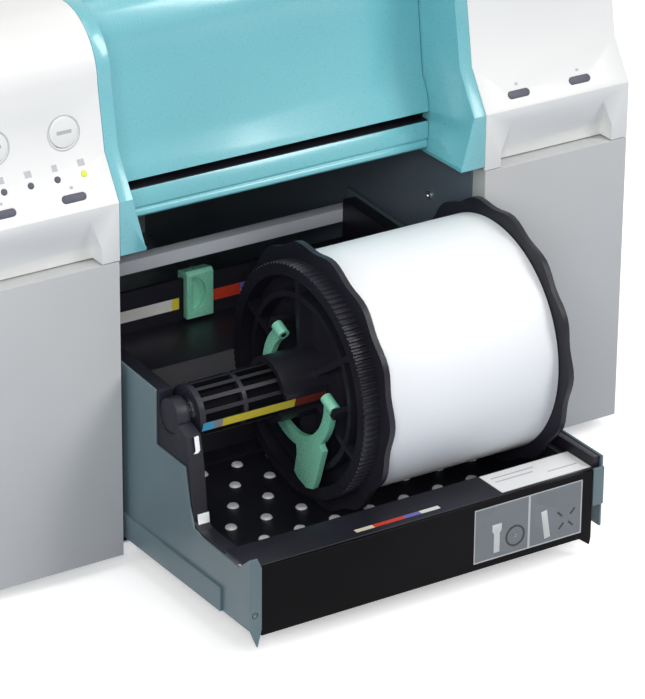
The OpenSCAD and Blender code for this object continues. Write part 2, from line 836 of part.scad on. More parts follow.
module ink_lamp(x, g) {
    w = 11.5;
    r = 2.5 + g;
    on_ledge(x, 0.28) translate([0, 0, -2 * wall]) {
        translate([-w / 2, -r, 0]) cube([w, 2 * r, 2 * wall + 0.4]);
        for (s = [-1, 1]) translate([s * w / 2, 0, 0]) cylinder(r = r, h = 2 * wall + 0.4);
    }
}

module ink_lamps() {
    color("#4e505f") place() both_sides() for (x = ink_x) ink_lamp(x, 0);
}

module status_lamp(i, g) {
    x = -(ink_x[0] - 10.8 + lamp_pitch * i);
    on_ledge(x, 0.68) translate([0, 0, -2 * wall]) cylinder(r = 2 + g, h = 2 * wall + 0.5);
}

module status_lamps() {
    color("#4a4c55") place() for (i = [0:3]) status_lamp(i, 0);
}

module control_board() {
    // Board behind the buttons, on posts to the cover
    depth = 7 + button_travel + free_gap;
    mid = (button_x[0] + button_x[1]) / 2;
    w = button_x[0] - button_x[1] + 20.5;
    color("#2f6b45") place() on_face(mid, button_z) {
        translate([-w / 2, -14, -depth - 1.6]) cube([w, 26, 1.6]);
        for (y = [-8, 8]) translate([0, y, -depth - eps]) cylinder(r = 2, h = depth + eps - face_wall);
    }
}

// Drawer
function plate_outline(front, rear, front_edge) = let (post = ya + 13, shelf = ya - 21) [
    [front, drawer_z], [rear, drawer_z], [rear, plate_top], [post, plate_top - 10.5],
    [post, axis_z - 24], [shelf, axis_z - 25], [shelf - 5, front_z2 + 13], [shelf - 10, front_z2],
    each front_edge];

module drawer_left_plate() {
    // Plate with a low front edge and a flange that ends in a pointed foot
    y0 = yf + sheet;
    edge = [[ya - 39, front_z2 - 2], [y0 + 12, front_z2 - 3], [y0, front_z2 + 7]];
    color("#5f7278") place() mirror([1, 0, 0]) {
        xprism(plate_outline(y0, yr, edge), plate_in, plate_x);
        yprism([[plate_x, drawer_z], [plate_x - flange_w / 2 - 1, drawer_z - flange_foot],
            [plate_x - flange_w, drawer_z], [plate_x - flange_w, front_z2],
            [plate_x - flange_w + 3, front_z2 + 7], [plate_x, front_z2 + 7]], yf, y0);
    }
}

module drawer_right_plate() {
    // Plate with a raised front edge and a short tab beside the front panel
    y0 = yf + sheet;
    edge = [[ya - 39, front_z2 + rail_rise], [y0, front_z2 + rail_rise]];
    color("#5f7278") place() {
        xprism(plate_outline(y0, yr, edge), plate_in, plate_x);
        bx(plate_x - flange_w, plate_x, yf, y0, front_z2 - 25, front_z2 + 1);
    }
}

module drawer_tray() {
    y0 = yf + panel_t;
    t = 2;
    y1 = yf + panel_t + shelf_d;
    step_z = tray_z + step_h;
    back_z = step_z + rear_rise;
    color("#1e1e26") place() {
        xprism([[y0, front_z2], [y1, front_z2], [y1 + slope_run, tray_z], [guide_y, tray_z],
            [guide_y, tray_z - t], [y1 + slope_run - 1, tray_z - t], [y1 - 1, front_z2 - t],
            [y0, front_z2 - t]], -plate_in, plate_in);
        xprism([[step_y, tray_z - eps], [step_y, step_z], [step_y + rear_rise, back_z],
            [guide_y, back_z], [guide_y, back_z - t], [step_y + rear_rise + t / 2, back_z - t],
            [step_y + t, step_z - t / 2], [step_y + t, tray_z - eps]], -cradle_in, cradle_in);
    }
}

module drawer_front() {
    half = plate_x - flange_w;
    color("#141214") place() yprism([[-half, panel_z], [half - 9, panel_z], [half - 1, panel_z - 6],
        [half, panel_z - 1], [half, front_z2], [-half, front_z2]], yf + 0.5, yf + panel_t);
}

module cradle() {
    // Black side wall of the tray with an open-topped seat for the spindle's boss
    seat = boss_r + run_fit;
    shelf = ya - 21;
    y1 = yf + panel_t + shelf_d;
    top = front_z2 - 1;
    slope_y = y1 + slope_run * (front_z2 - top) / (front_z2 - tray_z);
    difference() {
        xprism([[y1 + slope_run, tray_z], [yr - 10, tray_z], [yr - 10, plate_top - 3],
            [ya + 15, plate_top - 11], [ya + seat, plate_top - 11], [ya - seat, axis_z - 2],
            [shelf, axis_z - 6], [shelf - 4, axis_z - 25], [shelf - 8, top + 4],
            [shelf - 14, top], [slope_y, top]], cradle_in, plate_in);
        xcyl(seat, cradle_in - over, plate_in + over, ya, axis_z);
        bx(cradle_in - over, plate_in + over, ya - seat, ya + seat, axis_z, plate_top + over);
    }
}

module left_cradle() {
    color("#1e1e26") place() mirror([1, 0, 0]) cradle();
}

module right_cradle() {
    // The right wall runs on as a low rail along the shelf
    color("#1e1e26") place() {
        cradle();
        bx(plate_in - 5, plate_in, yf + panel_t, ya - 27.5, front_z2, front_z2 + rail_rise - 1);
    }
}

module rear_crossbar() {
    color("#aab4bb") place() {
        bx(-plate_in, plate_in, yr - 10, yr - 10 + sheet, bar_z0, bar_z1);
        bx(-plate_in, plate_in, yr - 10 + sheet - eps, yr, bar_z1 - sheet, bar_z1);
    }
}

module feed_guide() {
    // Ribbed rear wall below the paper's way out of the drawer
    rib_n = 9;
    rib_pitch = 2 * (plate_in - 32) / (rib_n - 1);
    color("#23232b") place() {
        bx(-plate_in, plate_in, guide_y, guide_y + 4, tray_z - 2, guide_top);
        for (i = [0:rib_n - 1]) {
            x = 32 - plate_in + i * rib_pitch;
            bx(x - 3, x + 3, guide_y + 4 - eps, guide_y + 7, tray_z, guide_top - 14);
        }
    }
}

module edge_guide() {
    // Green guide that hooks over the rear wall and slides along it
    w = 20;
    x0 = edge_x - w / 2;
    y1 = guide_y - 2 * free_gap;
    z1 = guide_top + free_gap;
    back = guide_y + 4 + free_gap;
    color("#7cc7aa") place() difference() {
        xprism([[y1 - 5, guide_top - 27], [y1, guide_top - 27], [y1, z1], [back, z1],
            [back, z1 - 8], [back + 2, z1 - 8], [back + 2, z1 + 4], [y1 - 3, z1 + 6],
            [y1 - 5, z1 + 4]], x0, x0 + w);
        intersection() {
            bx(x0 + 4, x0 + w - 4, y1 - 5 - over, y1 - 1.2, guide_top - 22, guide_top + 2);
            ycyl(13, y1 - 5 - 2 * over, y1, x0 + 1.5, guide_top - 10);
        }
    }
}

module drawer_runners() {
    color("#7d8a91") place() both_sides()
        bx(plate_x, plate_x + rail_t, yf + 32, yr, drawer_z, drawer_z + 16);
}

module slide_rails() {
    color("#8d979d") place() both_sides()
        bx(xi - rail_t, xi, door_y2, yr + drawer_out, drawer_z - 1, drawer_z + 17);
}

module tray_studs() {
    // Round studs on the tray's floor, each row set over from the one behind it
    rows = 5;
    y0 = step_y - 10.5;
    half = cradle_in - 10;
    set_over = 16.2;
    color("#d9dadb") place() for (j = [0:rows - 1]) {
        x0 = -5.2 - set_over * j;
        for (i = [ceil((-half - x0) / stud_pitch):floor((half - x0) / stud_pitch)])
            translate([x0 + i * stud_pitch, y0 - j * stud_row, tray_z]) cylinder(r1 = 4, r2 = 3, h = 1.4);
    }
}

// Spindle and roll
module spindle_shaft() {
    color("#b9bec6") place() {
        xcyl(shaft_r, -end_x + 5, end_x - 5, ya, axis_z);
        both_sides() xcyl(boss_r, cradle_in + 0.5, end_x, ya, axis_z);
    }
}

module spindle_core() {
    slots = 13;
    span = 27;
    first = strip_turn + 21;
    pitch = 26.5;
    color("#1c1c22") place() difference() {
        xcyl(core_r, -core_left, core_x, ya, axis_z);
        xcyl(shaft_r, -core_left - over, core_x + over, ya, axis_z);
        for (k = [0, 1]) for (i = [0:slots - 1])
            translate([0, ya, axis_z]) rotate([first + pitch * i, 0, 0])
                bx(-core_left + 4 + k * (span + 3), -core_left + 4 + k * (span + 3) + span,
                    core_r - 4, core_r + over, -2.6, 2.6);
        translate([0, ya, axis_z]) rotate([strip_turn, 0, 0])
            bx(-core_left + 2, slide_face_x, core_r - 0.6, core_r + over, -strip_half, strip_half);
    }
}

// Flange with a wavy disc, a fine-toothed ring, ridges and a plug for the paper's core.
// It is drawn with its paper side at x = 0 and its outer side towards -X.
module flange_body(t) {
    lobes = 14;
    teeth = 120;
    rim = [for (i = [0:lobes * 8 - 1]) let (a = 360 * i / (lobes * 8))
        polar([a, flange_r - flange_wave + flange_wave * cos(lobes * a)])];
    ring = [for (i = [0:teeth - 1]) each [for (q = [[0, 0], [0.2, 1.1], [0.5, 1.1], [0.7, 0]])
        polar([360 * (i + q[0]) / teeth, tooth_r + q[1]])]];
    difference() {
        union() {
            translate([0, ya, axis_z]) {
                xprism(rim, -4, 0);
                xprism(ring, -t - 2, -4 + eps);
            }
            xcyl(plug_r, -eps, plug_l, ya, axis_z);
            xcyl(hub_r, -hub_l, eps, ya, axis_z);
        }
        difference() {
            xcyl(tooth_r - 7, -hub_l - over, -4, ya, axis_z);
            xcyl(tooth_r - 17, -t, -4 + over, ya, axis_z);
            xcyl(hub_r, -hub_l - over, -4 + over, ya, axis_z);
        }
        difference() {
            xcyl(tooth_r - 21, -hub_l - over, -4, ya, axis_z);
            xcyl(hub_r, -hub_l - over, -4 + over, ya, axis_z);
        }
        difference() {
            xcyl(plug_r - 4, 0, plug_l + over, ya, axis_z);
            xcyl(hub_r, -over, plug_l + 2 * over, ya, axis_z);
        }
    }
    for (k = [0:5]) translate([0, ya, axis_z]) rotate([lever_turn + 60 * k, 0, 0])
        bx(-t, -4 + eps, hub_r - 1, tooth_r - 6, -2, 2);
}

module fixed_flange() {
    color("#1f1f27") place() difference() {
        translate([fixed_face_x, 0, 0]) mirror([1, 0, 0]) intersection() {
            flange_body(fixed_t);
            union() {
                bx(-4, plug_l + over, -body_d, body_d, 0, body_h);
                xcyl(tooth_r - 2, -fixed_t - 2, -4 + eps, ya, axis_z);
            }
        }
        xcyl(core_r, fixed_face_x - plug_l - over, fixed_face_x + fixed_t + 3, ya, axis_z);
    }
}

// The lever's place on the flange, with its hinge axis along Y at the height of the pivot
module lever_frame() {
    translate([0, ya, axis_z]) rotate([lever_turn, 0, 0]) children();
}

// Ends of the open ring along the hinge axis, from the ring's inner to its outer edge
ring_y = -lever_off * cos(lever_turn);
ring_z = lever_off * sin(lever_turn);
function ring_end(r, drop = 0) = sqrt(pow(r, 2) - pow(lever_pivot - drop - ring_z, 2));
lever_eyes = [[ring_y + ring_end(lever_ring) + hub_clear, ring_y + ring_end(lever_rim, 4)],
    [ring_y - ring_end(lever_rim, 4), ring_y - ring_end(lever_ring) + 0.6]];

module sliding_flange() {
    ear_t = 4;
    ear_y = [lever_eyes[0][1] + free_gap, lever_eyes[1][0] - free_gap - ear_t];
    color("#1f1f27") place() {
        difference() {
            translate([slide_face_x, 0, 0]) flange_body(flange_t);
            xcyl(core_r + run_fit, slide_face_x - hub_l - over, slide_face_x + plug_l + over, ya, axis_z);
            translate([0, ya, axis_z]) rotate([strip_turn, 0, 0])
                bx(slide_face_x - hub_l - over, slide_face_x - 5, core_r - 2, hub_r + over,
                    -strip_half - 7, strip_half + 2);
        }
        lever_frame() {
            for (y = ear_y)
                bx(lever_x - 3, slide_face_x - 4 + eps, y, y + ear_t, lever_pivot - 3, lever_pivot + 3);
            ycyl(lever_pin_r, lever_eyes[0][0], ear_y[0] + ear_t, lever_x, lever_pivot);
            ycyl(lever_pin_r, ear_y[1], lever_eyes[1][1], lever_x, lever_pivot);
        }
    }
}

module lock_lever() {
    // Open ring around the hub with a paddle below, hung on the flange's two pins
    paddle = [[-10, -34], [-6, -38], [-7, -45], [-4, -58], [-8, -61], [-18, -64], [-25, -62], [-28, -56],
        [-36, -32], [-30, -26]];
    color("#7cc7aa") place() difference() {
        union() {
            difference() {
                union() {
                    xcyl(lever_rim, lever_x - lever_t / 2, lever_x + lever_t / 2, ya - lever_off, axis_z);
                    translate([0, ya, axis_z])
                        xprism(paddle, lever_x - lever_t / 2, lever_x + lever_t / 2);
                }
                xcyl(lever_ring, lever_x - lever_t, lever_x + lever_t, ya - lever_off, axis_z);
                lever_frame() bx(lever_x - lever_t, lever_x + lever_t, -2 * lever_rim, 2 * lever_rim,
                    lever_pivot + 1, 2 * lever_rim);
                lever_frame() bx(lever_x - lever_t, lever_x + lever_t, 0, lever_eyes[0][0] + eps,
                    lever_pivot - lever_pin_r - 2, lever_pivot + 2);
            }
            lever_frame() for (e = lever_eyes) ycyl(lever_pin_r + 2, e[0], e[1], lever_x, lever_pivot);
        }
        lever_frame() ycyl(lever_pin_r + run_fit, -2 * lever_rim, 2 * lever_rim, lever_x, lever_pivot);
    }
}

module paper_roll() {
    color("#f7f9fa") place() difference() {
        xcyl(paper_r, paper_x0, paper_x1, ya, axis_z);
        xcyl(plug_r + free_gap, paper_x0 - over, paper_x1 + over, ya, axis_z);
    }
}

base_pan();
rubber_feet();
left_side_cover();
right_side_cover();
rear_cover();
left_tower_cover();
right_tower_cover();
centre_bezel();
exit_lip();
inner_frames();
print_deck();
platen();
roller_brackets();
carriage_rail();
carriage_belt();
carriage_motor();
capping_station();
main_board();
power_supply();
power_inlet();
fan_frame();
cartridge_bays();
ink_cartridges();
ink_lamps();
status_lamps();
control_board();
door_hinges();
slide_rails();
paper_guide();
feed_motor();
power_button();
pause_button();
left_ink_door();
right_ink_door();
top_cover();
carriage();
drive_pulley();
idler_pulley();
feed_roller();
feed_pinion();
pinch_rollers();
exit_roller();
fan_rotor();
drawer_left_plate();
drawer_right_plate();
drawer_tray();
drawer_front();
left_cradle();
right_cradle();
rear_crossbar();
feed_guide();
drawer_runners();
tray_studs();
edge_guide();
spindle_shaft();
spindle_core();
fixed_flange();
paper_roll();
sliding_flange();
lock_lever();
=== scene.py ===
# %% [markdown]
# # A roll-fed photo printer with its paper drawer open
# The solids of this printer come from its CAD model, in metres, in their real places.
# This lesson gives them soft moulded edges, real materials and the small trim that a solid
# model leaves out: printed scales, plates, screws, clips and a lit lamp.

# %% Load the frame
import json
import math

import bpy
from mathutils import Matrix, Vector


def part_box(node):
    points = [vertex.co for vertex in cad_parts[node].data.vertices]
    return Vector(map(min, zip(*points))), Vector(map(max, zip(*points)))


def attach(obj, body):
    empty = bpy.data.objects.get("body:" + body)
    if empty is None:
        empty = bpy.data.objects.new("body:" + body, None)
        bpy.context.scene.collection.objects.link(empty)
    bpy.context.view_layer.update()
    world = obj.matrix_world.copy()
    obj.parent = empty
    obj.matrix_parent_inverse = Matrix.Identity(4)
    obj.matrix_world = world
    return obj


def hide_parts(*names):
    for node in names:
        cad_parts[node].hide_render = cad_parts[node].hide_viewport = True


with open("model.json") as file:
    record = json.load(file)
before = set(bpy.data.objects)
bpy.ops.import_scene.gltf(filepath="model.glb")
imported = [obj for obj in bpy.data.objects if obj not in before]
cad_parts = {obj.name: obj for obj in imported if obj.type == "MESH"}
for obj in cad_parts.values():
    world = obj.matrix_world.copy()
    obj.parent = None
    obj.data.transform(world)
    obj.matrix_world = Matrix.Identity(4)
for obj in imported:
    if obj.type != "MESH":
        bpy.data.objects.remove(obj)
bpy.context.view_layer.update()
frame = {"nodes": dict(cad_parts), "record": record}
nodes = frame["nodes"]
body_of = {n: b for b, members in frame["record"]["behaviour"]["bodies"].items() for n in members}
MM = 0.001

# %% [markdown]
# ## Places
# Everything that is added later sits on a solid. The CAD boxes say where the solids are, so a
# few named planes are read from them: the front of the ink doors is where depth is counted from,
# and depth grows towards the back.

# %% Planes read from the solids
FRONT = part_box("left_ink_door")[0].y
core_low, core_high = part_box("spindle_core")
AXIS = (core_low + core_high) / 2
CORE_R = (core_high.z - core_low.z) / 2


def at(x, y, z):
    """A place in metres, from millimetres right of the middle, behind the doors and above the table."""
    return Vector((x * MM, FRONT + y * MM, z * MM))


print("doors' front at", round(FRONT, 4), "spindle axis at", [round(c, 4) for c in AXIS])

# %% [markdown]
# ## Camera
# The photograph was taken from the front left, a little above the printer, with a long lens.
# The camera looks at a point near the drawer's right-hand side, and its distance, lens and tilt
# were found by matching corners of the printer with the picture.

# %% Camera at the photograph's angle
AZIMUTH = math.radians(-33.026)
ELEVATION = math.radians(25.009)
ROLL = math.radians(0.504)
AIM = at(32.78, 31.98, 95.77)
DISTANCE = 2.58552
FOCAL_PX = 4050.2
FRAME_H = 699

back = Vector((math.sin(AZIMUTH) * math.cos(ELEVATION),
               -math.cos(AZIMUTH) * math.cos(ELEVATION), math.sin(ELEVATION)))
right = Vector((math.cos(AZIMUTH), math.sin(AZIMUTH), 0))
up = back.cross(right)
camera_right = right * math.cos(ROLL) + up * math.sin(ROLL)
camera_up = up * math.cos(ROLL) - right * math.sin(ROLL)
camera_data = bpy.data.cameras.new("photo_camera")
camera_data.sensor_fit = "VERTICAL"
camera_data.sensor_height = 36
camera_data.lens = FOCAL_PX * camera_data.sensor_height / FRAME_H
camera_data.clip_end = 20
camera = bpy.data.objects.new("photo_camera", camera_data)
bpy.context.scene.collection.objects.link(camera)
turn = Matrix((camera_right, camera_up, back)).transposed().to_4x4()
camera.matrix_world = Matrix.Translation(AIM + back * DISTANCE) @ turn
bpy.context.scene.camera = camera
print("lens", round(camera_data.lens, 1), "mm at", [round(c, 3) for c in camera.location])

# %% [markdown]
# ## Nodes and colours
# Materials here are all procedural. Colours are written as they look on a screen, so one function
# turns them to the linear values that a shader needs, and one function adds a node, sets it and
# wires it. Patterns are sized in millimetres on Object coordinates.

# %% Helpers for materials
def tone(code):
    """Linear RGBA from an sRGB hex colour."""
    parts = [int(code[i:i + 2], 16) / 255 for i in (1, 3, 5)]
    return tuple(c / 12.92 if c <= 0.04045 else ((c + 0.055) / 1.055) ** 2.4 for c in parts) + (1.0,)


def add(tree, kind, wires=None, **settings):
    """Adds a node, sets its properties, and sets or links its inputs."""
    node = tree.nodes.new(kind)
    for key, value in settings.items():
        setattr(node, key, value)
    for key, value in (wires or {}).items():
        if isinstance(value, bpy.types.NodeSocket):
            tree.links.new(value, node.inputs[key])
        else:
            node.inputs[key].default_value = value
    return node


def start(name):
    """A new material with an empty tree, and its Object coordinates."""
    material = bpy.data.materials.new(name)
    material.use_nodes = True
    tree = material.node_tree
    tree.nodes.clear()
    return material, tree, add(tree, "ShaderNodeTexCoord").outputs["Object"]


def per_mm(size):
    """Texture scale for features of this size in millimetres."""
    return 1 / (size * MM)


print("white is", [round(c, 2) for c in tone("#EDEDEB")])

# %% [markdown]
# ## Moulded plastics
# Almost every cover is injection-moulded ABS. The mould is spark-eroded, so its fine grain breaks
# up the shine, and large panels are never quite even in tone. The real grain is about 0.2 mm; it is
# drawn at a millimetre or more here, because anything finer vanishes at this distance. The teal
# centre is lacquered as well, so its shader has a clear coat.

# %% Moulded plastic
def moulded(name, light, dark, roughness, grain, relief, cloud=160, gloss=0.5, coat=0.0):
    """Injection-moulded plastic: two near tones in soft clouds under an even grain."""
    material, tree, place = start(name)
    fine = add(tree, "ShaderNodeTexNoise", {"Vector": place, "Scale": per_mm(grain), "Detail": 3.0,
                                            "Roughness": 0.65})
    soft = add(tree, "ShaderNodeTexNoise", {"Vector": place, "Scale": per_mm(cloud), "Detail": 2.0})
    tint = add(tree, "ShaderNodeValToRGB", {"Fac": soft.outputs["Fac"]})
    tint.color_ramp.elements[0].position, tint.color_ramp.elements[1].position = 0.35, 0.65
    tint.color_ramp.elements[0].color, tint.color_ramp.elements[1].color = tone(dark), tone(light)
    shine = add(tree, "ShaderNodeMapRange", {"Value": fine.outputs["Fac"], "From Min": 0.3, "From Max": 0.7,
                                             "To Min": roughness - 0.06, "To Max": roughness + 0.06})
    bump = add(tree, "ShaderNodeBump", {"Height": fine.outputs["Fac"], "Strength": 0.35,
                                        "Distance": relief * MM})
    shader = add(tree, "ShaderNodeBsdfPrincipled", {
        "Base Color": tint.outputs["Color"], "Roughness": shine.outputs["Result"],
        "Normal": bump.outputs["Normal"],
        "IOR": 1.53, "Specular IOR Level": gloss, "Coat Weight": coat, "Coat Roughness": 0.14})
    add(tree, "ShaderNodeOutputMaterial", {"Surface": shader.outputs["BSDF"]})
    return material


white_abs = moulded("white_abs_satin", "#F0F0EE", "#EAEAE8", 0.42, 1.2, 0.05)
grey_abs = moulded("grey_abs_spark_eroded", "#C8C9C9", "#C1C2C2", 0.55, 1.0, 0.08)
teal_abs = moulded("teal_abs_lacquered", "#73BFC8", "#6AB6BF", 0.30, 1.4, 0.04, coat=0.8)
black_abs = moulded("black_abs_moulded", "#22222B", "#191920", 0.40, 1.0, 0.06, cloud=60, gloss=0.25)
panel_abs = moulded("black_abs_smooth", "#121012", "#0D0B0D", 0.36, 2.0, 0.03, cloud=90, gloss=0.05)
# Darker and duller than black_abs: painted shade for the deep cells of the spindle core.
core_cell_shade = moulded("black_abs_painted_shade", "#0E0E12", "#0A0A0D", 0.70, 1.0, 0.05, cloud=30, gloss=0.05)
button_abs = moulded("white_abs_button", "#ECEDEA", "#E6E7E4", 0.35, 1.0, 0.02, cloud=40)
mint_acetal = moulded("mint_acetal", "#8AD2B6", "#7AC6A9", 0.28, 1.2, 0.03, cloud=24)
stud_acetal = moulded("white_acetal", "#EFF0F1", "#E4E6E8", 0.25, 1.0, 0.02, cloud=12)
gear_acetal = moulded("natural_acetal", "#DEDED8", "#D2D2CB", 0.40, 0.8, 0.03, cloud=20)
inner_abs = moulded("dark_grey_abs", "#3D4047", "#34373D", 0.50, 1.2, 0.06)
print("plastics:", [m.name for m in (white_abs, grey_abs, teal_abs, black_abs, panel_abs, mint_acetal)])

# %% [markdown]
# ## Painted and plated steel
# The drawer's side plates and the inner frames are powder-coated sheet, with the faint orange peel
# of baked paint. The pan, deck and rails are zinc-plated: rolled sheet has long fine lines, and the
# plating has soft grey flakes. Shafts are ground bright.

# %% Sheet metals
def painted(name, light, dark, roughness, peel):
    """Powder paint on steel sheet."""
    material, tree, place = start(name)
    skin = add(tree, "ShaderNodeTexNoise", {"Vector": place, "Scale": per_mm(peel), "Detail": 2.0})
    soft = add(tree, "ShaderNodeTexNoise", {"Vector": place, "Scale": per_mm(90), "Detail": 2.0})
    tint = add(tree, "ShaderNodeValToRGB", {"Fac": soft.outputs["Fac"]})
    tint.color_ramp.elements[0].position, tint.color_ramp.elements[1].position = 0.35, 0.65
    tint.color_ramp.elements[0].color, tint.color_ramp.elements[1].color = tone(dark), tone(light)
    bump = add(tree, "ShaderNodeBump", {"Height": skin.outputs["Fac"], "Strength": 0.25,
                                        "Distance": 0.06 * MM})
    shader = add(tree, "ShaderNodeBsdfPrincipled", {
        "Base Color": tint.outputs["Color"], "Roughness": roughness, "Normal": bump.outputs["Normal"],
        "Coat Weight": 0.15, "Coat Roughness": 0.3})
    add(tree, "ShaderNodeOutputMaterial", {"Surface": shader.outputs["BSDF"]})
    return material


def plated(name, light, dark, roughness, flake, line):
    """Bare or zinc-plated metal: flakes in tone, and rolling lines along X in the shine."""
    material, tree, place = start(name)
    flakes = add(tree, "ShaderNodeTexVoronoi", {"Vector": place, "Scale": per_mm(flake)})
    stretch = add(tree, "ShaderNodeMapping", {"Vector": place, "Scale": (0.03, 1.0, 1.0)})
    lines = add(tree, "ShaderNodeTexNoise", {"Vector": stretch.outputs["Vector"], "Scale": per_mm(line),
                                             "Detail": 3.0})
    tint = add(tree, "ShaderNodeValToRGB", {"Fac": flakes.outputs["Color"]})
    tint.color_ramp.elements[0].color, tint.color_ramp.elements[1].color = tone(dark), tone(light)
    shine = add(tree, "ShaderNodeMapRange", {"Value": lines.outputs["Fac"], "From Min": 0.3, "From Max": 0.7,
                                             "To Min": roughness - 0.08, "To Max": roughness + 0.08})
    bump = add(tree, "ShaderNodeBump", {"Height": lines.outputs["Fac"], "Strength": 0.2,
                                        "Distance": 0.03 * MM})
    shader = add(tree, "ShaderNodeBsdfPrincipled", {
        "Base Color": tint.outputs["Color"], "Roughness": shine.outputs["Result"], "Metallic": 1.0,
        "Normal": bump.outputs["Normal"]})
    add(tree, "ShaderNodeOutputMaterial", {"Surface": shader.outputs["BSDF"]})
    return material


slate_paint = painted("slate_powder_coat", "#667A80", "#596C72", 0.42, 1.6)
frame_paint = painted("dark_powder_coat", "#5F6B76", "#55606A", 0.45, 1.6)
pale_paint = painted("pale_grey_powder_coat", "#E4E9F0", "#D9DEE6", 0.45, 1.6)
motor_paint = painted("motor_lacquer", "#5E626A", "#4F535A", 0.35, 1.2)
zinc_sheet = plated("zinc_plated_sheet", "#B9C2C8", "#A3ADB4", 0.38, 7.0, 0.8)
ground_steel = plated("ground_steel", "#D2D5DA", "#C2C6CC", 0.22, 9.0, 0.6)
turned_aluminium = plated("turned_aluminium", "#C6C9CD", "#B4B8BD", 0.30, 5.0, 0.5)
spring_steel = plated("bright_spring_steel", "#E4E6E9", "#D6D9DD", 0.35, 6.0, 0.6)
anodised_rim = plated("anodised_aluminium", "#A0A4A9", "#999DA2", 0.45, 12.0, 0.7)
brushed_plate = plated("brushed_aluminium", "#6A6F74", "#64696E", 0.42, 12.0, 0.7)
print("metals:", [m.name for m in (slate_paint, zinc_sheet, ground_steel, brushed_plate)])

# %% [markdown]
# ## Paper, rubber, lenses and boards
# Coated photo paper is a clean white with a hint of pearl. The rollers are ground rubber. The lamp
# lenses are smoked polycarbonate; one lamp is lit, so its lens gives off its own light. Circuit
# boards are green lacquer over copper lines, which show as slightly lighter stripes.

# %% Paper, rubber, lens and board
def coated_paper(name, light, dark, roughness):
    """Photo paper: very faint long bands from winding, and a pearl coat."""
    material, tree, place = start(name)
    stretch = add(tree, "ShaderNodeMapping", {"Vector": place, "Scale": (0.12, 1.0, 1.0)})
    bands = add(tree, "ShaderNodeTexNoise", {"Vector": stretch.outputs["Vector"], "Scale": per_mm(30),
                                             "Detail": 1.0})
    fibre = add(tree, "ShaderNodeTexNoise", {"Vector": place, "Scale": per_mm(0.9), "Detail": 4.0})
    tint = add(tree, "ShaderNodeValToRGB", {"Fac": bands.outputs["Fac"]})
    tint.color_ramp.elements[0].color, tint.color_ramp.elements[1].color = tone(dark), tone(light)
    bump = add(tree, "ShaderNodeBump", {"Height": fibre.outputs["Fac"], "Strength": 0.12,
                                        "Distance": 0.02 * MM})
    shader = add(tree, "ShaderNodeBsdfPrincipled", {
        "Base Color": tint.outputs["Color"], "Roughness": roughness, "Normal": bump.outputs["Normal"],
        "Sheen Weight": 0.05, "Coat Weight": 0.1, "Coat Roughness": 0.35})
    add(tree, "ShaderNodeOutputMaterial", {"Surface": shader.outputs["BSDF"]})
    return material


def lens(name, light, dark, glow=0.0):
    """Smoked or lit polycarbonate with a faceted inside."""
    material, tree, place = start(name)
    cells = add(tree, "ShaderNodeTexVoronoi", {"Vector": place, "Scale": per_mm(1.2)})
    tint = add(tree, "ShaderNodeValToRGB", {"Fac": cells.outputs["Distance"]})
    tint.color_ramp.elements[0].color, tint.color_ramp.elements[1].color = tone(light), tone(dark)
    shader = add(tree, "ShaderNodeBsdfPrincipled", {
        "Base Color": tint.outputs["Color"], "Roughness": 0.5, "IOR": 1.58,
        "Emission Color": tone(light), "Emission Strength": glow})
    add(tree, "ShaderNodeOutputMaterial", {"Surface": shader.outputs["BSDF"]})
    return material


def board_lacquer(name):
    """Green solder mask with the copper lines under it."""
    material, tree, place = start(name)
    lines = add(tree, "ShaderNodeTexWave", {"Vector": place, "Scale": per_mm(22), "Distortion": 6.0,
                                            "Detail": 1.0})
    tint = add(tree, "ShaderNodeValToRGB", {"Fac": lines.outputs["Fac"]})
    tint.color_ramp.elements[0].color, tint.color_ramp.elements[1].color = tone("#2B6340"), tone("#3C8054")
    bump = add(tree, "ShaderNodeBump", {"Height": lines.outputs["Fac"], "Strength": 0.2,
                                        "Distance": 0.04 * MM})
    shader = add(tree, "ShaderNodeBsdfPrincipled", {
        "Base Color": tint.outputs["Color"], "Roughness": 0.3, "Normal": bump.outputs["Normal"]})
    add(tree, "ShaderNodeOutputMaterial", {"Surface": shader.outputs["BSDF"]})
    return material


photo_paper = coated_paper("coated_photo_paper", "#FAFBFC", "#F4F6F8", 0.5)
label_paper = coated_paper("label_paper", "#E9EAEA", "#E1E2E3", 0.55)
smoked_lens = lens("smoked_polycarbonate", "#444658", "#323445")
lit_lens = lens("lit_polycarbonate", "#D2D644", "#C3C82A", glow=0.2)
green_board = board_lacquer("green_solder_mask")
roller_rubber = moulded("ground_rubber", "#4C4D55", "#414249", 0.75, 0.9, 0.1, cloud=30)
foot_rubber = moulded("foot_rubber", "#2E2E2F", "#262627", 0.8, 1.5, 0.12, cloud=20)
lit_shader = lit_lens.node_tree.nodes["Principled BSDF"]
print("lit lens glows at", lit_shader.inputs["Emission Strength"].default_value)

# %% [markdown]
# ## Softened solids
# A moulded cover has no knife edges. Each solid that shows is copied, its loose triangles are
# merged and flat faces dissolved, and a Bevel modifier rounds its edges by the radius that such a
# piece has. The copy stands for the solid in the picture, and the solid stays for the physics.
# The deck, the pinion and the feed roller, whose radius is 0, stay as they are and only get their
# material.

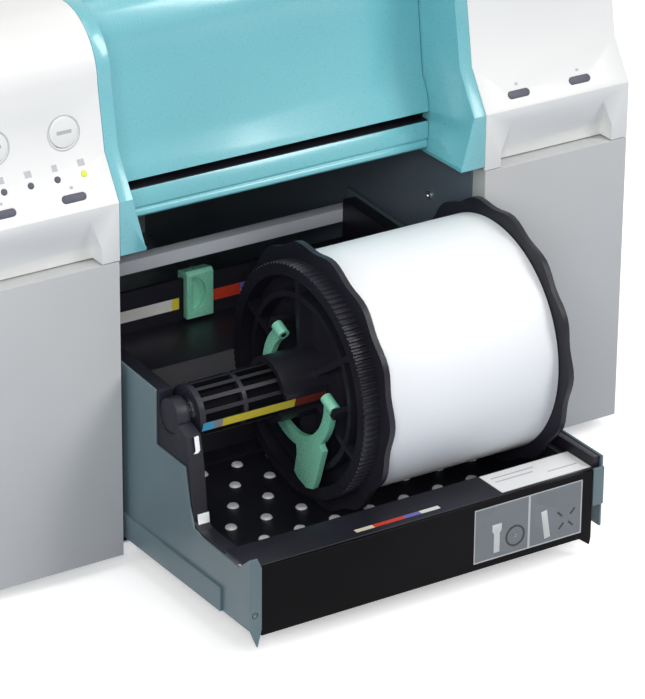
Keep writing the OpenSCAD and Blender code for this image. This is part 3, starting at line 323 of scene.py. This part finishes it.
# %% Which material and edge radius each solid gets
FINISH = {
    white_abs: {"left_tower_cover": 1.6, "right_tower_cover": 1.6},
    grey_abs: {"left_ink_door": 1.2, "right_ink_door": 1.2, "left_side_cover": 0.8, "right_side_cover": 0.8,
               "rear_cover": 0.8},
    teal_abs: {"centre_bezel": 1.0, "exit_lip": 0.7, "top_cover": 1.2},
    button_abs: {"power_button": 0.7, "pause_button": 0.7},
    smoked_lens: {"ink_lamps": 0.3, "status_lamps": 0.3},
    slate_paint: {"drawer_left_plate": 0.35, "drawer_right_plate": 0.35, "drawer_runners": 0.3},
    pale_paint: {"rear_crossbar": 0.3},
    frame_paint: {"inner_frames": 0.3},
    motor_paint: {"carriage_motor": 0.6, "feed_motor": 0.6},
    zinc_sheet: {"base_pan": 0.3, "print_deck": 0, "roller_brackets": 0.3, "door_hinges": 0.3,
                 "slide_rails": 0.3, "power_supply": 0.5},
    ground_steel: {"carriage_rail": 0.4, "spindle_shaft": 0.6},
    stud_acetal: {"tray_studs": 0.3},
    panel_abs: {"drawer_front": 0.8},
    black_abs: {"drawer_tray": 0.6, "left_cradle": 0.8, "right_cradle": 0.8, "feed_guide": 0.5,
                "spindle_core": 0.35, "fixed_flange": 0.25, "sliding_flange": 0.25, "power_inlet": 0.5,
                "platen": 0.4, "carriage": 0.8, "capping_station": 0.5, "paper_guide": 0.3,
                "fan_frame": 0.5, "fan_rotor": 0.3},
    inner_abs: {"cartridge_bays": 0.3, "ink_cartridges": 1.2},
    mint_acetal: {"edge_guide": 0.7, "lock_lever": 1.2},
    roller_rubber: {"feed_roller": 0, "exit_roller": 0.5, "pinch_rollers": 0.4, "carriage_belt": 0.3},
    foot_rubber: {"rubber_feet": 1.2},
    gear_acetal: {"feed_pinion": 0},
    turned_aluminium: {"drive_pulley": 0.4, "idler_pulley": 0.4},
    green_board: {"main_board": 0.3, "control_board": 0.2},
    photo_paper: {"paper_roll": 0.4},
}
CREASE = math.radians(32)
MERGE = 0.002 * MM
FLAT = math.radians(0.5)


def pick(piece):
    """Leaves object mode with this piece alone selected."""
    if bpy.context.mode != "OBJECT":
        bpy.ops.object.mode_set(mode="OBJECT")
    bpy.ops.object.select_all(action="DESELECT")
    piece.select_set(True)
    bpy.context.view_layer.objects.active = piece


def round_edges(piece, radius, segments=3):
    """Bevels the edges that are sharper than a crease, and applies it."""
    pick(piece)
    bevel = piece.modifiers.new("edge", "BEVEL")
    bevel.width = radius * MM
    bevel.segments = segments
    bevel.limit_method = "ANGLE"
    bevel.angle_limit = CREASE
    bevel.use_clamp_overlap = True
    bpy.ops.object.modifier_apply(modifier="edge")


def soften(node, radius):
    """A merged copy of a solid with rounded edges, which stands for it."""
    piece = bpy.data.objects.new(node + "_form", nodes[node].data.copy())
    bpy.context.scene.collection.objects.link(piece)
    pick(piece)
    bpy.ops.object.mode_set(mode="EDIT")
    bpy.ops.mesh.select_all(action="SELECT")
    bpy.ops.mesh.remove_doubles(threshold=MERGE)
    bpy.ops.mesh.customdata_custom_splitnormals_clear()
    bpy.ops.mesh.dissolve_limited(angle_limit=FLAT)
    bpy.ops.object.mode_set(mode="OBJECT")
    round_edges(piece, radius)
    bpy.ops.object.shade_smooth_by_angle(angle=CREASE)
    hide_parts(node)
    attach(piece, body_of[node])
    return piece


# %% Soften the solids and dress them
forms = {}
for material, members in FINISH.items():
    for node, radius in members.items():
        piece = soften(node, radius) if radius else nodes[node]
        piece.data.materials.clear()
        piece.data.materials.append(material)
        forms[node] = piece
print(len(forms), "solids dressed, without a finish:", sorted(set(nodes) - set(forms)))

# %% [markdown]
# ## Printed strips
# Roll widths are read on printed strips: one along the feed guide, one on the spindle's core and a
# short colour key on the drawer's shelf. A strip is one thin slip cut across into bands, and each
# band takes its own ink. The slip is laid 0.2 mm proud of the plastic, like printed film.

# %% Strips with bands of ink
def block(name, centre, size, tilt=0.0):
    """A box at its size and place, turned about X, alone in the selection."""
    bpy.ops.object.select_all(action="DESELECT")
    bpy.ops.mesh.primitive_cube_add(size=1, location=centre, rotation=(tilt, 0, 0),
                                    scale=[c * MM for c in size])
    piece = bpy.context.object
    piece.name = name
    return piece


def settle(piece, materials, body, radius=0.0, segments=2):
    """Puts a piece's place in its mesh, rounds it, dresses it and joins it to its body."""
    pick(piece)
    bpy.ops.object.transform_apply(location=True, rotation=True, scale=True)
    if radius:
        round_edges(piece, radius, segments)
    bpy.ops.object.shade_smooth_by_angle(angle=CREASE)
    for material in materials:
        piece.data.materials.append(material)
    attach(piece, body)
    return piece


def banded(name, centre, size, cuts, inks, body, tilt=0.0):
    """A slip cut across at the given x places, each band in its ink."""
    piece = block(name, centre, size, tilt)
    bpy.ops.object.transform_apply(location=True, rotation=True, scale=True)
    bpy.ops.object.mode_set(mode="EDIT")
    for x in cuts:
        bpy.ops.mesh.select_all(action="SELECT")
        bpy.ops.mesh.bisect(plane_co=(x * MM, 0, 0), plane_no=(1, 0, 0))
    bpy.ops.object.mode_set(mode="OBJECT")
    for face in piece.data.polygons:
        face.material_index = sum(face.center.x > x * MM for x in cuts)
    return settle(piece, inks, body)


INKS = (("white", "#DCDCD9", "#D4D4D1"), ("yellow", "#DCC941", "#D4C039"), ("red", "#C53C22", "#BC351D"),
        ("purple", "#6D69B4", "#6662AA"), ("blue", "#53ADD3", "#4BA4CA"), ("brown", "#6F2D21", "#66281D"),
        ("grey", "#8E9092", "#86888A"), ("pale", "#B9B7BE", "#B1AFB6"), ("cream", "#DAD3BC", "#D2CBB4"),
        ("black", "#1B1B1D", "#151517"), ("cyan", "#2AA6CE", "#249EC6"), ("magenta", "#C43C82", "#BC357A"))
ink = {name: moulded("printing_ink_" + name, light, dark, 0.45, 2.0, 0.01, cloud=15)
       for name, light, dark in INKS}
FILM = 0.2
SCALE_Z, SCALE_H = 95.5, 8
guide_y = (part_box("feed_guide")[0].y - FRONT) / MM
shelf_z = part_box("drawer_front")[1].z / MM
strips = [
    banded("guide_scale_left", at(-62, guide_y - FILM / 2, SCALE_Z), (108, FILM, SCALE_H), [-13.4],
           [ink["white"], ink["yellow"]], "drawer"),
    banded("guide_scale_middle", at(28.6, guide_y - FILM / 2, SCALE_Z), (33.2, FILM, SCALE_H), [39],
           [ink["red"], ink["purple"]], "drawer"),
    banded("shelf_key", at(-18.5, -131.8, shelf_z + FILM / 2), (61, 3.4, FILM), [-36, -14, -2],
           [ink["cream"], ink["red"], ink["purple"], ink["white"]], "drawer"),
]
STRIP_TURN = math.radians(197)
strip_out = Vector((0, math.cos(STRIP_TURN), math.sin(STRIP_TURN))) * (CORE_R - 0.45 * MM)
core_scale_place = Vector((-68.3 * MM, AXIS.y, AXIS.z)) + strip_out
strips.append(banded("core_scale", core_scale_place, (91, 0.3, 6.0), [-105.5, -99.5, -48],
                     [ink["blue"], ink["grey"], ink["yellow"], ink["brown"]], "spindle", STRIP_TURN))
print({piece.name: len(piece.data.polygons) for piece in strips})

# %% [markdown]
# ## Plates and labels
# On the drawer's front a brushed aluminium plate shows the lever's two positions, and a paper label
# lies on the shelf. Each starts as a thin slab; its front is inset so that a rim stands round the
# printed field. The marks on the plate are plain shapes: a ring for the hub and a bar for the lever.
# The lines on the label, and later the pads on the ledge, are slips of pale print.

# %% Plates
def select_towards(piece, way):
    """Edit mode with the faces that look one way selected."""
    pick(piece)
    bpy.ops.object.mode_set(mode="EDIT")
    bpy.ops.mesh.select_mode(type="FACE")
    bpy.ops.mesh.select_all(action="DESELECT")
    bpy.ops.object.mode_set(mode="OBJECT")
    for face in piece.data.polygons:
        face.select = face.normal.dot(Vector(way)) > 0.9
    bpy.ops.object.mode_set(mode="EDIT")


def plate(name, centre, size, way, cuts, materials, body, rim=0.8, sunk=0.12, tilt=0.0):
    """A thin plate, split at x places, with a rim round each sunk field."""
    piece = block(name, centre, size, tilt)
    bpy.ops.object.transform_apply(location=True, rotation=True, scale=True)
    bpy.ops.object.mode_set(mode="EDIT")
    for x in cuts:
        bpy.ops.mesh.select_all(action="SELECT")
        bpy.ops.mesh.bisect(plane_co=(x * MM, 0, 0), plane_no=(1, 0, 0))
    select_towards(piece, way)
    bpy.ops.mesh.inset(thickness=rim * MM, use_individual=True)
    bpy.ops.transform.translate(value=Vector(way) * -sunk * MM)
    bpy.ops.object.mode_set(mode="OBJECT")
    for face in piece.data.polygons:
        face.material_index = 1 if face.select else 0
    return settle(piece, materials, body)


def pad(name, centre, size, way, body, tilt=0.0):
    """A slip of pale print with a narrow rim."""
    return plate(name, centre, size, way, [], [ink["pale"], ink["pale"]], body, rim=0.3, sunk=0.03, tilt=tilt)


front_y = (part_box("drawer_front")[0].y - FRONT) / MM
plates = [
    plate("lever_plate", at(72.4, front_y - 0.15, 37.5), (81.3, 0.3, 37), (0, -1, 0), [73],
          [anodised_rim, brushed_plate], "drawer"),
    plate("shelf_label", at(89.3, -124.2, shelf_z + FILM / 2), (67.5, 25, FILM), (0, 0, 1), [],
          [ink["white"], label_paper], "drawer", rim=0.6, sunk=0.05),
]
LABEL_LINES = ((76, -118, 32), (74, -123, 28), (107, -128, 22))
for i, (x, y, length) in enumerate(LABEL_LINES):
    plates.append(pad(f"label_line_{i + 1}", at(x, y, shelf_z + 0.18), (length, 1.2, 0.1), (0, 0, 1), "drawer"))
print("plates:", [piece.name for piece in plates])

# %% Marks on the plate
PRINT_T = 0.12


def ring_mark(name, centre, radius, width, material):
    """A flat ring on the plate: a disc inset once and its middle removed."""
    bpy.ops.object.select_all(action="DESELECT")
    bpy.ops.mesh.primitive_circle_add(vertices=48, radius=radius * MM, fill_type="NGON", location=centre,
                                      rotation=(math.pi / 2, 0, 0))
    piece = bpy.context.object
    piece.name = name
    bpy.ops.object.mode_set(mode="EDIT")
    bpy.ops.mesh.select_all(action="SELECT")
    bpy.ops.mesh.inset(thickness=width * MM)
    bpy.ops.mesh.delete(type="FACE")
    bpy.ops.mesh.select_all(action="SELECT")
    bpy.ops.mesh.extrude_region_move(TRANSFORM_OT_translate={"value": (0, -PRINT_T * MM, 0)})
    bpy.ops.object.mode_set(mode="OBJECT")
    return settle(piece, [material], "drawer")


def bar_mark(name, centre, length, width, lean, material, head=1.0):
    """A slim bar on the plate with rounded ends, its upper end drawn out into a head."""
    piece = block(name, centre, (width, PRINT_T, length))
    bpy.ops.object.transform_apply(location=False, rotation=True, scale=True)
    select_towards(piece, (0, 0, 1))
    bpy.ops.mesh.extrude_region_move(TRANSFORM_OT_translate={"value": (0, 0, 0.15 * length * MM)})
    bpy.ops.transform.resize(value=(head, 1, 1))
    bpy.ops.mesh.extrude_region_move(TRANSFORM_OT_translate={"value": (0, 0, 0.35 * length * MM)})
    bpy.ops.object.mode_set(mode="OBJECT")
    piece.rotation_euler = (0, lean, 0)
    return settle(piece, [material], "drawer", radius=0.25 * width)


TURN_X, TURN_Z, TURN_REACH = 101.3, 31.4, 4.2
mark_y = front_y - 0.23
hub_place = at(62.7, mark_y, 30.8)
marks = [ring_mark("hub_mark", hub_place, 7.2, 1.2, ink["black"]),
         ring_mark("pin_mark", hub_place, 1.3, 0.8, ink["grey"]),
         bar_mark("lever_mark_left", at(48.8, mark_y, 29.5), 13, 4.4, 0, ink["white"], head=1.6),
         bar_mark("lever_mark_right", at(86.2, mark_y, 29), 13, 4.4, math.radians(-9), ink["white"])]
for i, (dx, dz) in enumerate(((-1, 1), (1, 1), (-1, -1), (1, -1))):
    place = at(TURN_X + TURN_REACH * dx, mark_y, TURN_Z + TURN_REACH * dz)
    marks.append(bar_mark(f"turn_mark_{i + 1}", place, 3.4, 1.4, math.radians(45 * dx * dz), ink["black"]))
print("marks:", [piece.name for piece in marks])

# %% [markdown]
# ## Screws and clips
# The sheet metal is held by pan-head screws. One is modelled: a cylinder with its top edge rounded
# and a socket pushed into the head. The others are copies of it, each with its own mesh. On the
# rear cover they lie in round sinks, cut with a Boolean modifier, so nothing stands proud of the
# back, and a Weighted Normal modifier keeps the large flat panel evenly shaded. Two bent spring
# clips hold the left cradle.

# %% Screws
SCREW_R, HEAD = 2.6, 1.6
bpy.ops.object.select_all(action="DESELECT")
bpy.ops.mesh.primitive_cylinder_add(vertices=24, radius=SCREW_R * MM, depth=HEAD * MM,
                                    location=(0, 0, HEAD / 2 * MM))
first_screw = bpy.context.object
bpy.ops.object.transform_apply(location=True, rotation=True, scale=True)
select_towards(first_screw, (0, 0, 1))
bpy.ops.mesh.inset(thickness=0.9 * MM)
bpy.ops.mesh.inset(thickness=0.35 * MM)
bpy.ops.transform.translate(value=(0, 0, -0.7 * MM))
bpy.ops.object.mode_set(mode="OBJECT")
round_edges(first_screw, 0.3, 2)


def screw(name, place, way, body, material, scale=1.0):
    """A copy of the screw with its head towards the given way."""
    piece = first_screw.copy()
    piece.data = first_screw.data.copy()
    piece.name = name
    bpy.context.scene.collection.objects.link(piece)
    piece.location = place
    piece.rotation_euler = Vector(way).to_track_quat("Z", "Y").to_euler()
    piece.scale = (scale, scale, scale)
    return settle(piece, [material], body)


rear_y = (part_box("rear_cover")[1].y - FRONT) / MM
plate_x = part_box("drawer_left_plate")[0].x / MM
flange_y = (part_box("drawer_left_plate")[0].y - FRONT) / MM
FLANGE_SCREW_X, FLANGE_SCREW_Z = -126.4, 29.5
PLATE_SCREWS = (("high", 0.9, -101.6, 35.4, slate_paint, 0.55),
                ("middle", 0.9, -107.3, 38.1, slate_paint, 0.55),
                ("low", 0.5, -101.5, 26.6, ground_steel, 0.7))
screws = [screw("plate_screw_" + spot, at(plate_x + inset, y, z), (-1, 0, 0), "drawer", metal, scale)
          for spot, inset, y, z, metal, scale in PLATE_SCREWS]
screws.append(screw("flange_screw", at(FLANGE_SCREW_X, flange_y + 1.02, FLANGE_SCREW_Z), (0, -1, 0), "drawer",
                    slate_paint, 0.6))
rear_spots = [(x, z) for z in (30, 190) for x in (-232, -60, 60, 232)]
for i, (x, z) in enumerate(rear_spots):
    screws.append(screw(f"rear_screw_{i + 1}", at(x, rear_y - 1.35, z), (0, 1, 0), "cabinet",
                        ground_steel, 0.75))
inner_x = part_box("inner_frames")[1].x / MM - 1.4
screws.append(screw("frame_screw", at(inner_x, 60, 170.5), (-1, 0, 0), "cabinet", spring_steel, 1.1))
bpy.data.objects.remove(first_screw)
print(len(screws), "screws")

# %% Round sinks for the screws on the rear cover and the front flange
def sink(node, places, radius, depth):
    """Round sinks in a solid's picture, cut along Y with one joined cutter."""
    cutters = []
    for place in places:
        bpy.ops.object.select_all(action="DESELECT")
        bpy.ops.mesh.primitive_cylinder_add(vertices=32, radius=radius * MM, depth=2 * depth * MM,
                                            location=place, rotation=(math.pi / 2, 0, 0))
        cutters.append(bpy.context.object)
    for item in cutters:
        item.select_set(True)
    if len(cutters) > 1:
        bpy.ops.object.join()
    cutter = bpy.context.object
    pick(forms[node])
    cut = forms[node].modifiers.new("sinks", "BOOLEAN")
    cut.operation = "DIFFERENCE"
    cut.solver = "EXACT"
    cut.object = cutter
    bpy.ops.object.modifier_apply(modifier="sinks")
    bpy.ops.object.shade_smooth_by_angle(angle=CREASE)
    flat = forms[node].modifiers.new("flat", "WEIGHTED_NORMAL")
    flat.keep_sharp = True
    bpy.ops.object.modifier_apply(modifier="flat")
    bpy.data.objects.remove(cutter)
    return len(forms[node].data.polygons)


rear_faces = sink("rear_cover", [at(x, rear_y, z) for x, z in rear_spots], 2.9, 1.4)
plate_faces = sink("drawer_left_plate", [at(FLANGE_SCREW_X, flange_y, FLANGE_SCREW_Z)], 2.2, 1.0)
print("rear cover faces:", rear_faces, "plate faces:", plate_faces)

# %% Clips on the left cradle
def clip(name, place, size, tilt, reach):
    """A bent clip: a small tab, leaning on the cradle's front edge, with its lower end drawn out."""
    piece = block(name, place, size, tilt)
    bpy.ops.object.transform_apply(location=True, rotation=True, scale=True)
    select_towards(piece, (0, 0, -1))
    bpy.ops.mesh.extrude_region_move(TRANSFORM_OT_translate={"value": (-reach * MM, -0.8 * MM, -1.2 * MM)})
    bpy.ops.object.mode_set(mode="OBJECT")
    return settle(piece, [spring_steel], "drawer", radius=0.3)


clips = [clip("cradle_clip_high", at(-122.2, -69.4, 112), (3.2, 1.2, 9), math.radians(-12), 2.0),
         clip("cradle_clip_low", at(-122, -76.2, 64.5), (8, 1.2, 7), math.radians(-8), 0.5)]
print("clips:", [piece.name for piece in clips])

# %% [markdown]
# ## Control ledge
# Each button sits in a thin grey ring, and the first status lamp is lit: its lens glows yellow-green.
# Pale printed marks stand over the lamps and on the buttons. They are plain pads here, thin slips
# with a sunk field, laid on the slope of the ledge or of the button's face.

# %% Rings and the lit lamp
LEDGE_Z, LEDGE_RISE, LEDGE_DEPTH = 246, 27, 17
FACE_Z, FACE_TOP_Z, FACE_TOP_Y = LEDGE_Z + LEDGE_RISE, 314, 24
LEAN = math.atan2(FACE_TOP_Y - LEDGE_DEPTH, FACE_TOP_Z - FACE_Z)
RING_R, RING_WIRE = 10.7, 0.5
LENS_ROOM = 6


def button_ring(name, node, material):
    """A flattened ring on the sloping face round a button."""
    low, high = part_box(node)
    centre = (low + high) / 2
    height = centre.z / MM
    face_y = LEDGE_DEPTH + (FACE_TOP_Y - LEDGE_DEPTH) * (height - FACE_Z) / (FACE_TOP_Z - FACE_Z)
    bpy.ops.object.select_all(action="DESELECT")
    bpy.ops.mesh.primitive_torus_add(major_segments=72, minor_segments=12, major_radius=RING_R * MM,
                                     minor_radius=RING_WIRE * MM, location=at(centre.x / MM, face_y, height),
                                     rotation=(math.pi / 2 - LEAN, 0, 0))
    piece = bpy.context.object
    piece.name = name
    bpy.ops.object.mode_set(mode="EDIT")
    bpy.ops.mesh.select_all(action="SELECT")
    bpy.ops.transform.resize(value=(1, 1, 0.5), orient_type="LOCAL")
    bpy.ops.object.mode_set(mode="OBJECT")
    return settle(piece, [material], "cabinet")


rings = [button_ring("power_ring", "power_button", grey_abs),
         button_ring("pause_ring", "pause_button", grey_abs)]
lenses = forms["status_lamps"].data
lenses.materials.append(lit_lens)
first_lens = max(corner.co.x for corner in lenses.vertices) - LENS_ROOM * MM
lit = [face for face in lenses.polygons if face.center.x > first_lens]
for face in lit:
    face.material_index = 1
print("rings:", [piece.name for piece in rings], "lit faces:", len(lit))

# %% Printed marks on the ledge and the buttons
LAMP_PITCH, LENS_R = 18, 2
INK_LAMP_STEP, INK_LAMP_HALF = 10.8, 8.25
SLOPE = math.atan2(LEDGE_RISE, LEDGE_DEPTH)


def ledge_mark(name, x, share, size):
    """A printed pad on the ledge, at a share of the way up its slope."""
    place = at(x, LEDGE_DEPTH * share, LEDGE_Z + LEDGE_RISE * share)
    way = (0, -math.sin(SLOPE), math.cos(SLOPE))
    return pad(name, place, size, way, "cabinet", SLOPE)


lamp_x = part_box("status_lamps")[1].x / MM - LENS_R
ink_near, ink_far = INK_LAMP_STEP - lamp_x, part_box("ink_lamps")[1].x / MM - INK_LAMP_HALF
pads = [ledge_mark(f"lamp_mark_{i + 1}", lamp_x - LAMP_PITCH * i, 0.9, (4.6 - i % 2, 4.2, PRINT_T))
        for i in range(4)]
pads += [ledge_mark(f"ink_mark_{i + 1}", x, 0.48, (2.2, 1.8, PRINT_T))
         for i, x in enumerate((-ink_far, -ink_near, ink_near, ink_far))]
face_way = Vector((0, -math.cos(LEAN), math.sin(LEAN)))
for node in ("power_button", "pause_button"):
    low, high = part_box(node)
    thick = ((high.y - low.y) - (high.x - low.x) * math.sin(LEAN)) / math.cos(LEAN)
    pads.append(pad(node + "_mark", (low + high) / 2 + face_way * thick / 2, (10, 2.2, PRINT_T), face_way,
                    body_of[node], math.pi / 2 - LEAN))
print("pads:", [piece.name for piece in pads])

# %% [markdown]
# ## Print slot
# Prints leave through a slot over the lip. The lip is one teal moulding, so its flat top is cut
# across just behind the edge, and the part behind the cut changes to black, standing for the black
# platen behind the real lip's edge. The cover's underside over the slot changes to black too,
# which is painted shade inside the slot.

# %% Black inside of the slot
lip = forms["exit_lip"]
slot_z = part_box("exit_lip")[1].z
slot_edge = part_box("top_cover")[0].y - 1.5 * MM
pick(lip)
bpy.ops.object.mode_set(mode="EDIT")
bpy.ops.mesh.select_all(action="SELECT")
bpy.ops.mesh.bisect(plane_co=(0, slot_edge, 0), plane_no=(0, 1, 0))
bpy.ops.object.mode_set(mode="OBJECT")
lip.data.materials.append(black_abs)
dark = [face for face in lip.data.polygons if face.center.y > slot_edge and face.center.z > slot_z - 1 * MM]
# The cover's faces that look down over the slot turn black: painted shade inside the slot.
cover = forms["top_cover"].data
cover.materials.append(black_abs)
dark += [face for face in cover.polygons if face.normal.z < -0.9 and face.center.z < slot_z + 8 * MM]
for face in dark:
    face.material_index = 1
print("slot faces in black:", len(dark))

# %% [markdown]
# ## Spindle ends, data socket and ink labels
# The spindle is a steel shaft with moulded black bosses pressed on its ends, so the faces beyond
# the cradle walls change to black. The deep cells in its core turn a darker black, which is painted
# shade in their hollows. The data socket on the main board has a zinc shell. Each ink cartridge
# carries a coloured label on its front, which shows when a door is let down.

# %% Bosses and ink labels
shaft = forms["spindle_shaft"].data
shaft.materials.append(black_abs)
boss_x = -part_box("left_cradle")[1].x
for face in shaft.polygons:
    face.material_index = 1 if abs(face.center.x) > boss_x else 0
core = forms["spindle_core"].data
# Faces deep in the core's cells take the darker black: painted shade in their hollows.
core.materials.append(core_cell_shade)
for face in core.polygons:
    depth = CORE_R - Vector((0, face.center.y - AXIS.y, face.center.z - AXIS.z)).length
    face.material_index = 1 if depth > 1.5 * MM and abs(face.normal.x) < 0.9 else 0
board = forms["main_board"].data
board.materials.append(zinc_sheet)
socket_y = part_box("main_board")[1].y - 12 * MM
for face in board.polygons:
    face.material_index = 1 if face.center.y > socket_y else 0
cartridge_y = (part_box("ink_cartridges")[0].y - FRONT) / MM
CARTRIDGES = ((-214, "black"), (-162, "cyan"), (162, "magenta"), (214, "yellow"))
labels = [plate(f"ink_label_{name}", at(x, cartridge_y - FILM / 2, 150), (26, FILM, 44), (0, -1, 0), [],
                [ink["white"], ink[name]], "cabinet", rim=1.5, sunk=0.05) for x, name in CARTRIDGES]
print("boss faces:", sum(face.material_index for face in shaft.polygons), "labels:", len(labels))

# %% [markdown]
# ## Lights and floor
# The studio is plain: a pale floor, an even white surround and six softboxes. A small one at the
# front left and a tall, stronger one at the front right shape the front, one overhead and one at
# the left fill in, and two behind light the back. The surround is brighter to the camera than to
# the object, so the background is white while the printer's colours stay as written.

# %% Floor, surround and lamps
FLOOR_GLOW = 0.4
ROOM_LIGHT, ROOM_SEEN = 0.22, 0.95


def direct_rays(tree):
    """One for rays that show the studio to the camera, straight, mirrored or through a lens."""
    ray = add(tree, "ShaderNodeLightPath").outputs
    seen = add(tree, "ShaderNodeMath", {0: ray["Is Camera Ray"], 1: ray["Is Glossy Ray"]}, operation="MAXIMUM")
    return add(tree, "ShaderNodeMath", {0: seen.outputs["Value"], 1: ray["Is Transmission Ray"]},
               operation="MAXIMUM")


bpy.ops.object.select_all(action="DESELECT")
bpy.ops.mesh.primitive_plane_add(size=12, location=(0, 0, 0))
floor = bpy.context.object
floor.name = "studio_floor"
material, tree, place = start("pale_floor")
seen = direct_rays(tree)
speck = add(tree, "ShaderNodeTexNoise", {"Vector": place, "Scale": per_mm(400), "Detail": 2.0})
tint = add(tree, "ShaderNodeValToRGB", {"Fac": speck.outputs["Fac"]})
tint.color_ramp.elements[0].color, tint.color_ramp.elements[1].color = tone("#F8F8F8"), tone("#FCFCFC")
bounce = add(tree, "ShaderNodeMix", {0: seen.outputs["Value"], 6: tone("#76849A"), 7: tint.outputs["Color"]},
             data_type="RGBA")
glow = add(tree, "ShaderNodeMath", {0: seen.outputs["Value"], 1: FLOOR_GLOW}, operation="MULTIPLY")
shader = add(tree, "ShaderNodeBsdfPrincipled", {
    "Base Color": bounce.outputs[2], "Roughness": 0.9, "Specular IOR Level": 0.0,
    "Emission Color": (1, 1, 1, 1), "Emission Strength": glow.outputs["Value"]})
add(tree, "ShaderNodeOutputMaterial", {"Surface": shader.outputs["BSDF"]})
floor.data.materials.append(material)

world = bpy.data.worlds.new("studio")
bpy.context.scene.world = world
world.use_nodes = True
tree = world.node_tree
tree.nodes.clear()
seen = direct_rays(tree)
level = add(tree, "ShaderNodeMapRange", {"Value": seen.outputs["Value"], "To Min": ROOM_LIGHT,
                                         "To Max": ROOM_SEEN})
light = add(tree, "ShaderNodeBackground", {"Color": (1, 1, 1, 1), "Strength": level.outputs["Result"]})
add(tree, "ShaderNodeOutputWorld", {"Surface": light.outputs["Background"]})


def lamp(name, place, aim, wide, tall, power):
    """A softbox turned towards a point."""
    data = bpy.data.lights.new(name, "AREA")
    data.shape = "RECTANGLE"
    data.size, data.size_y = wide, tall
    data.energy = power
    item = bpy.data.objects.new(name, data)
    bpy.context.scene.collection.objects.link(item)
    item.location = place
    item.rotation_euler = (Vector(aim) - Vector(place)).to_track_quat("-Z", "Y").to_euler()
    return item


lamps = [lamp("front", (-1.0, -1.6, 1.0), (0, -0.1, 0.15), 0.6, 0.6, 14.5),
         lamp("right", (1.25, -1.68, 1.75), (0, -0.1, 0.25), 0.8, 1.5, 28),
         lamp("top", (-0.1, -0.7, 2.4), (0, -0.1, 0.2), 1.3, 1.3, 11),
         lamp("left", (-2.1, -0.5, 1.0), (0, 0, 0.2), 1.0, 1.0, 9),
         lamp("rear_left", (-1.3, 2.0, 1.2), (0, 0.1, 0.2), 1.2, 1.2, 15),
         lamp("rear_right", (2.0, 1.0, 1.3), (0, 0.1, 0.2), 1.2, 1.2, 15)]
bpy.context.scene.view_settings.view_transform = "Standard"
print("lamps:", {item.name: item.data.energy for item in lamps})
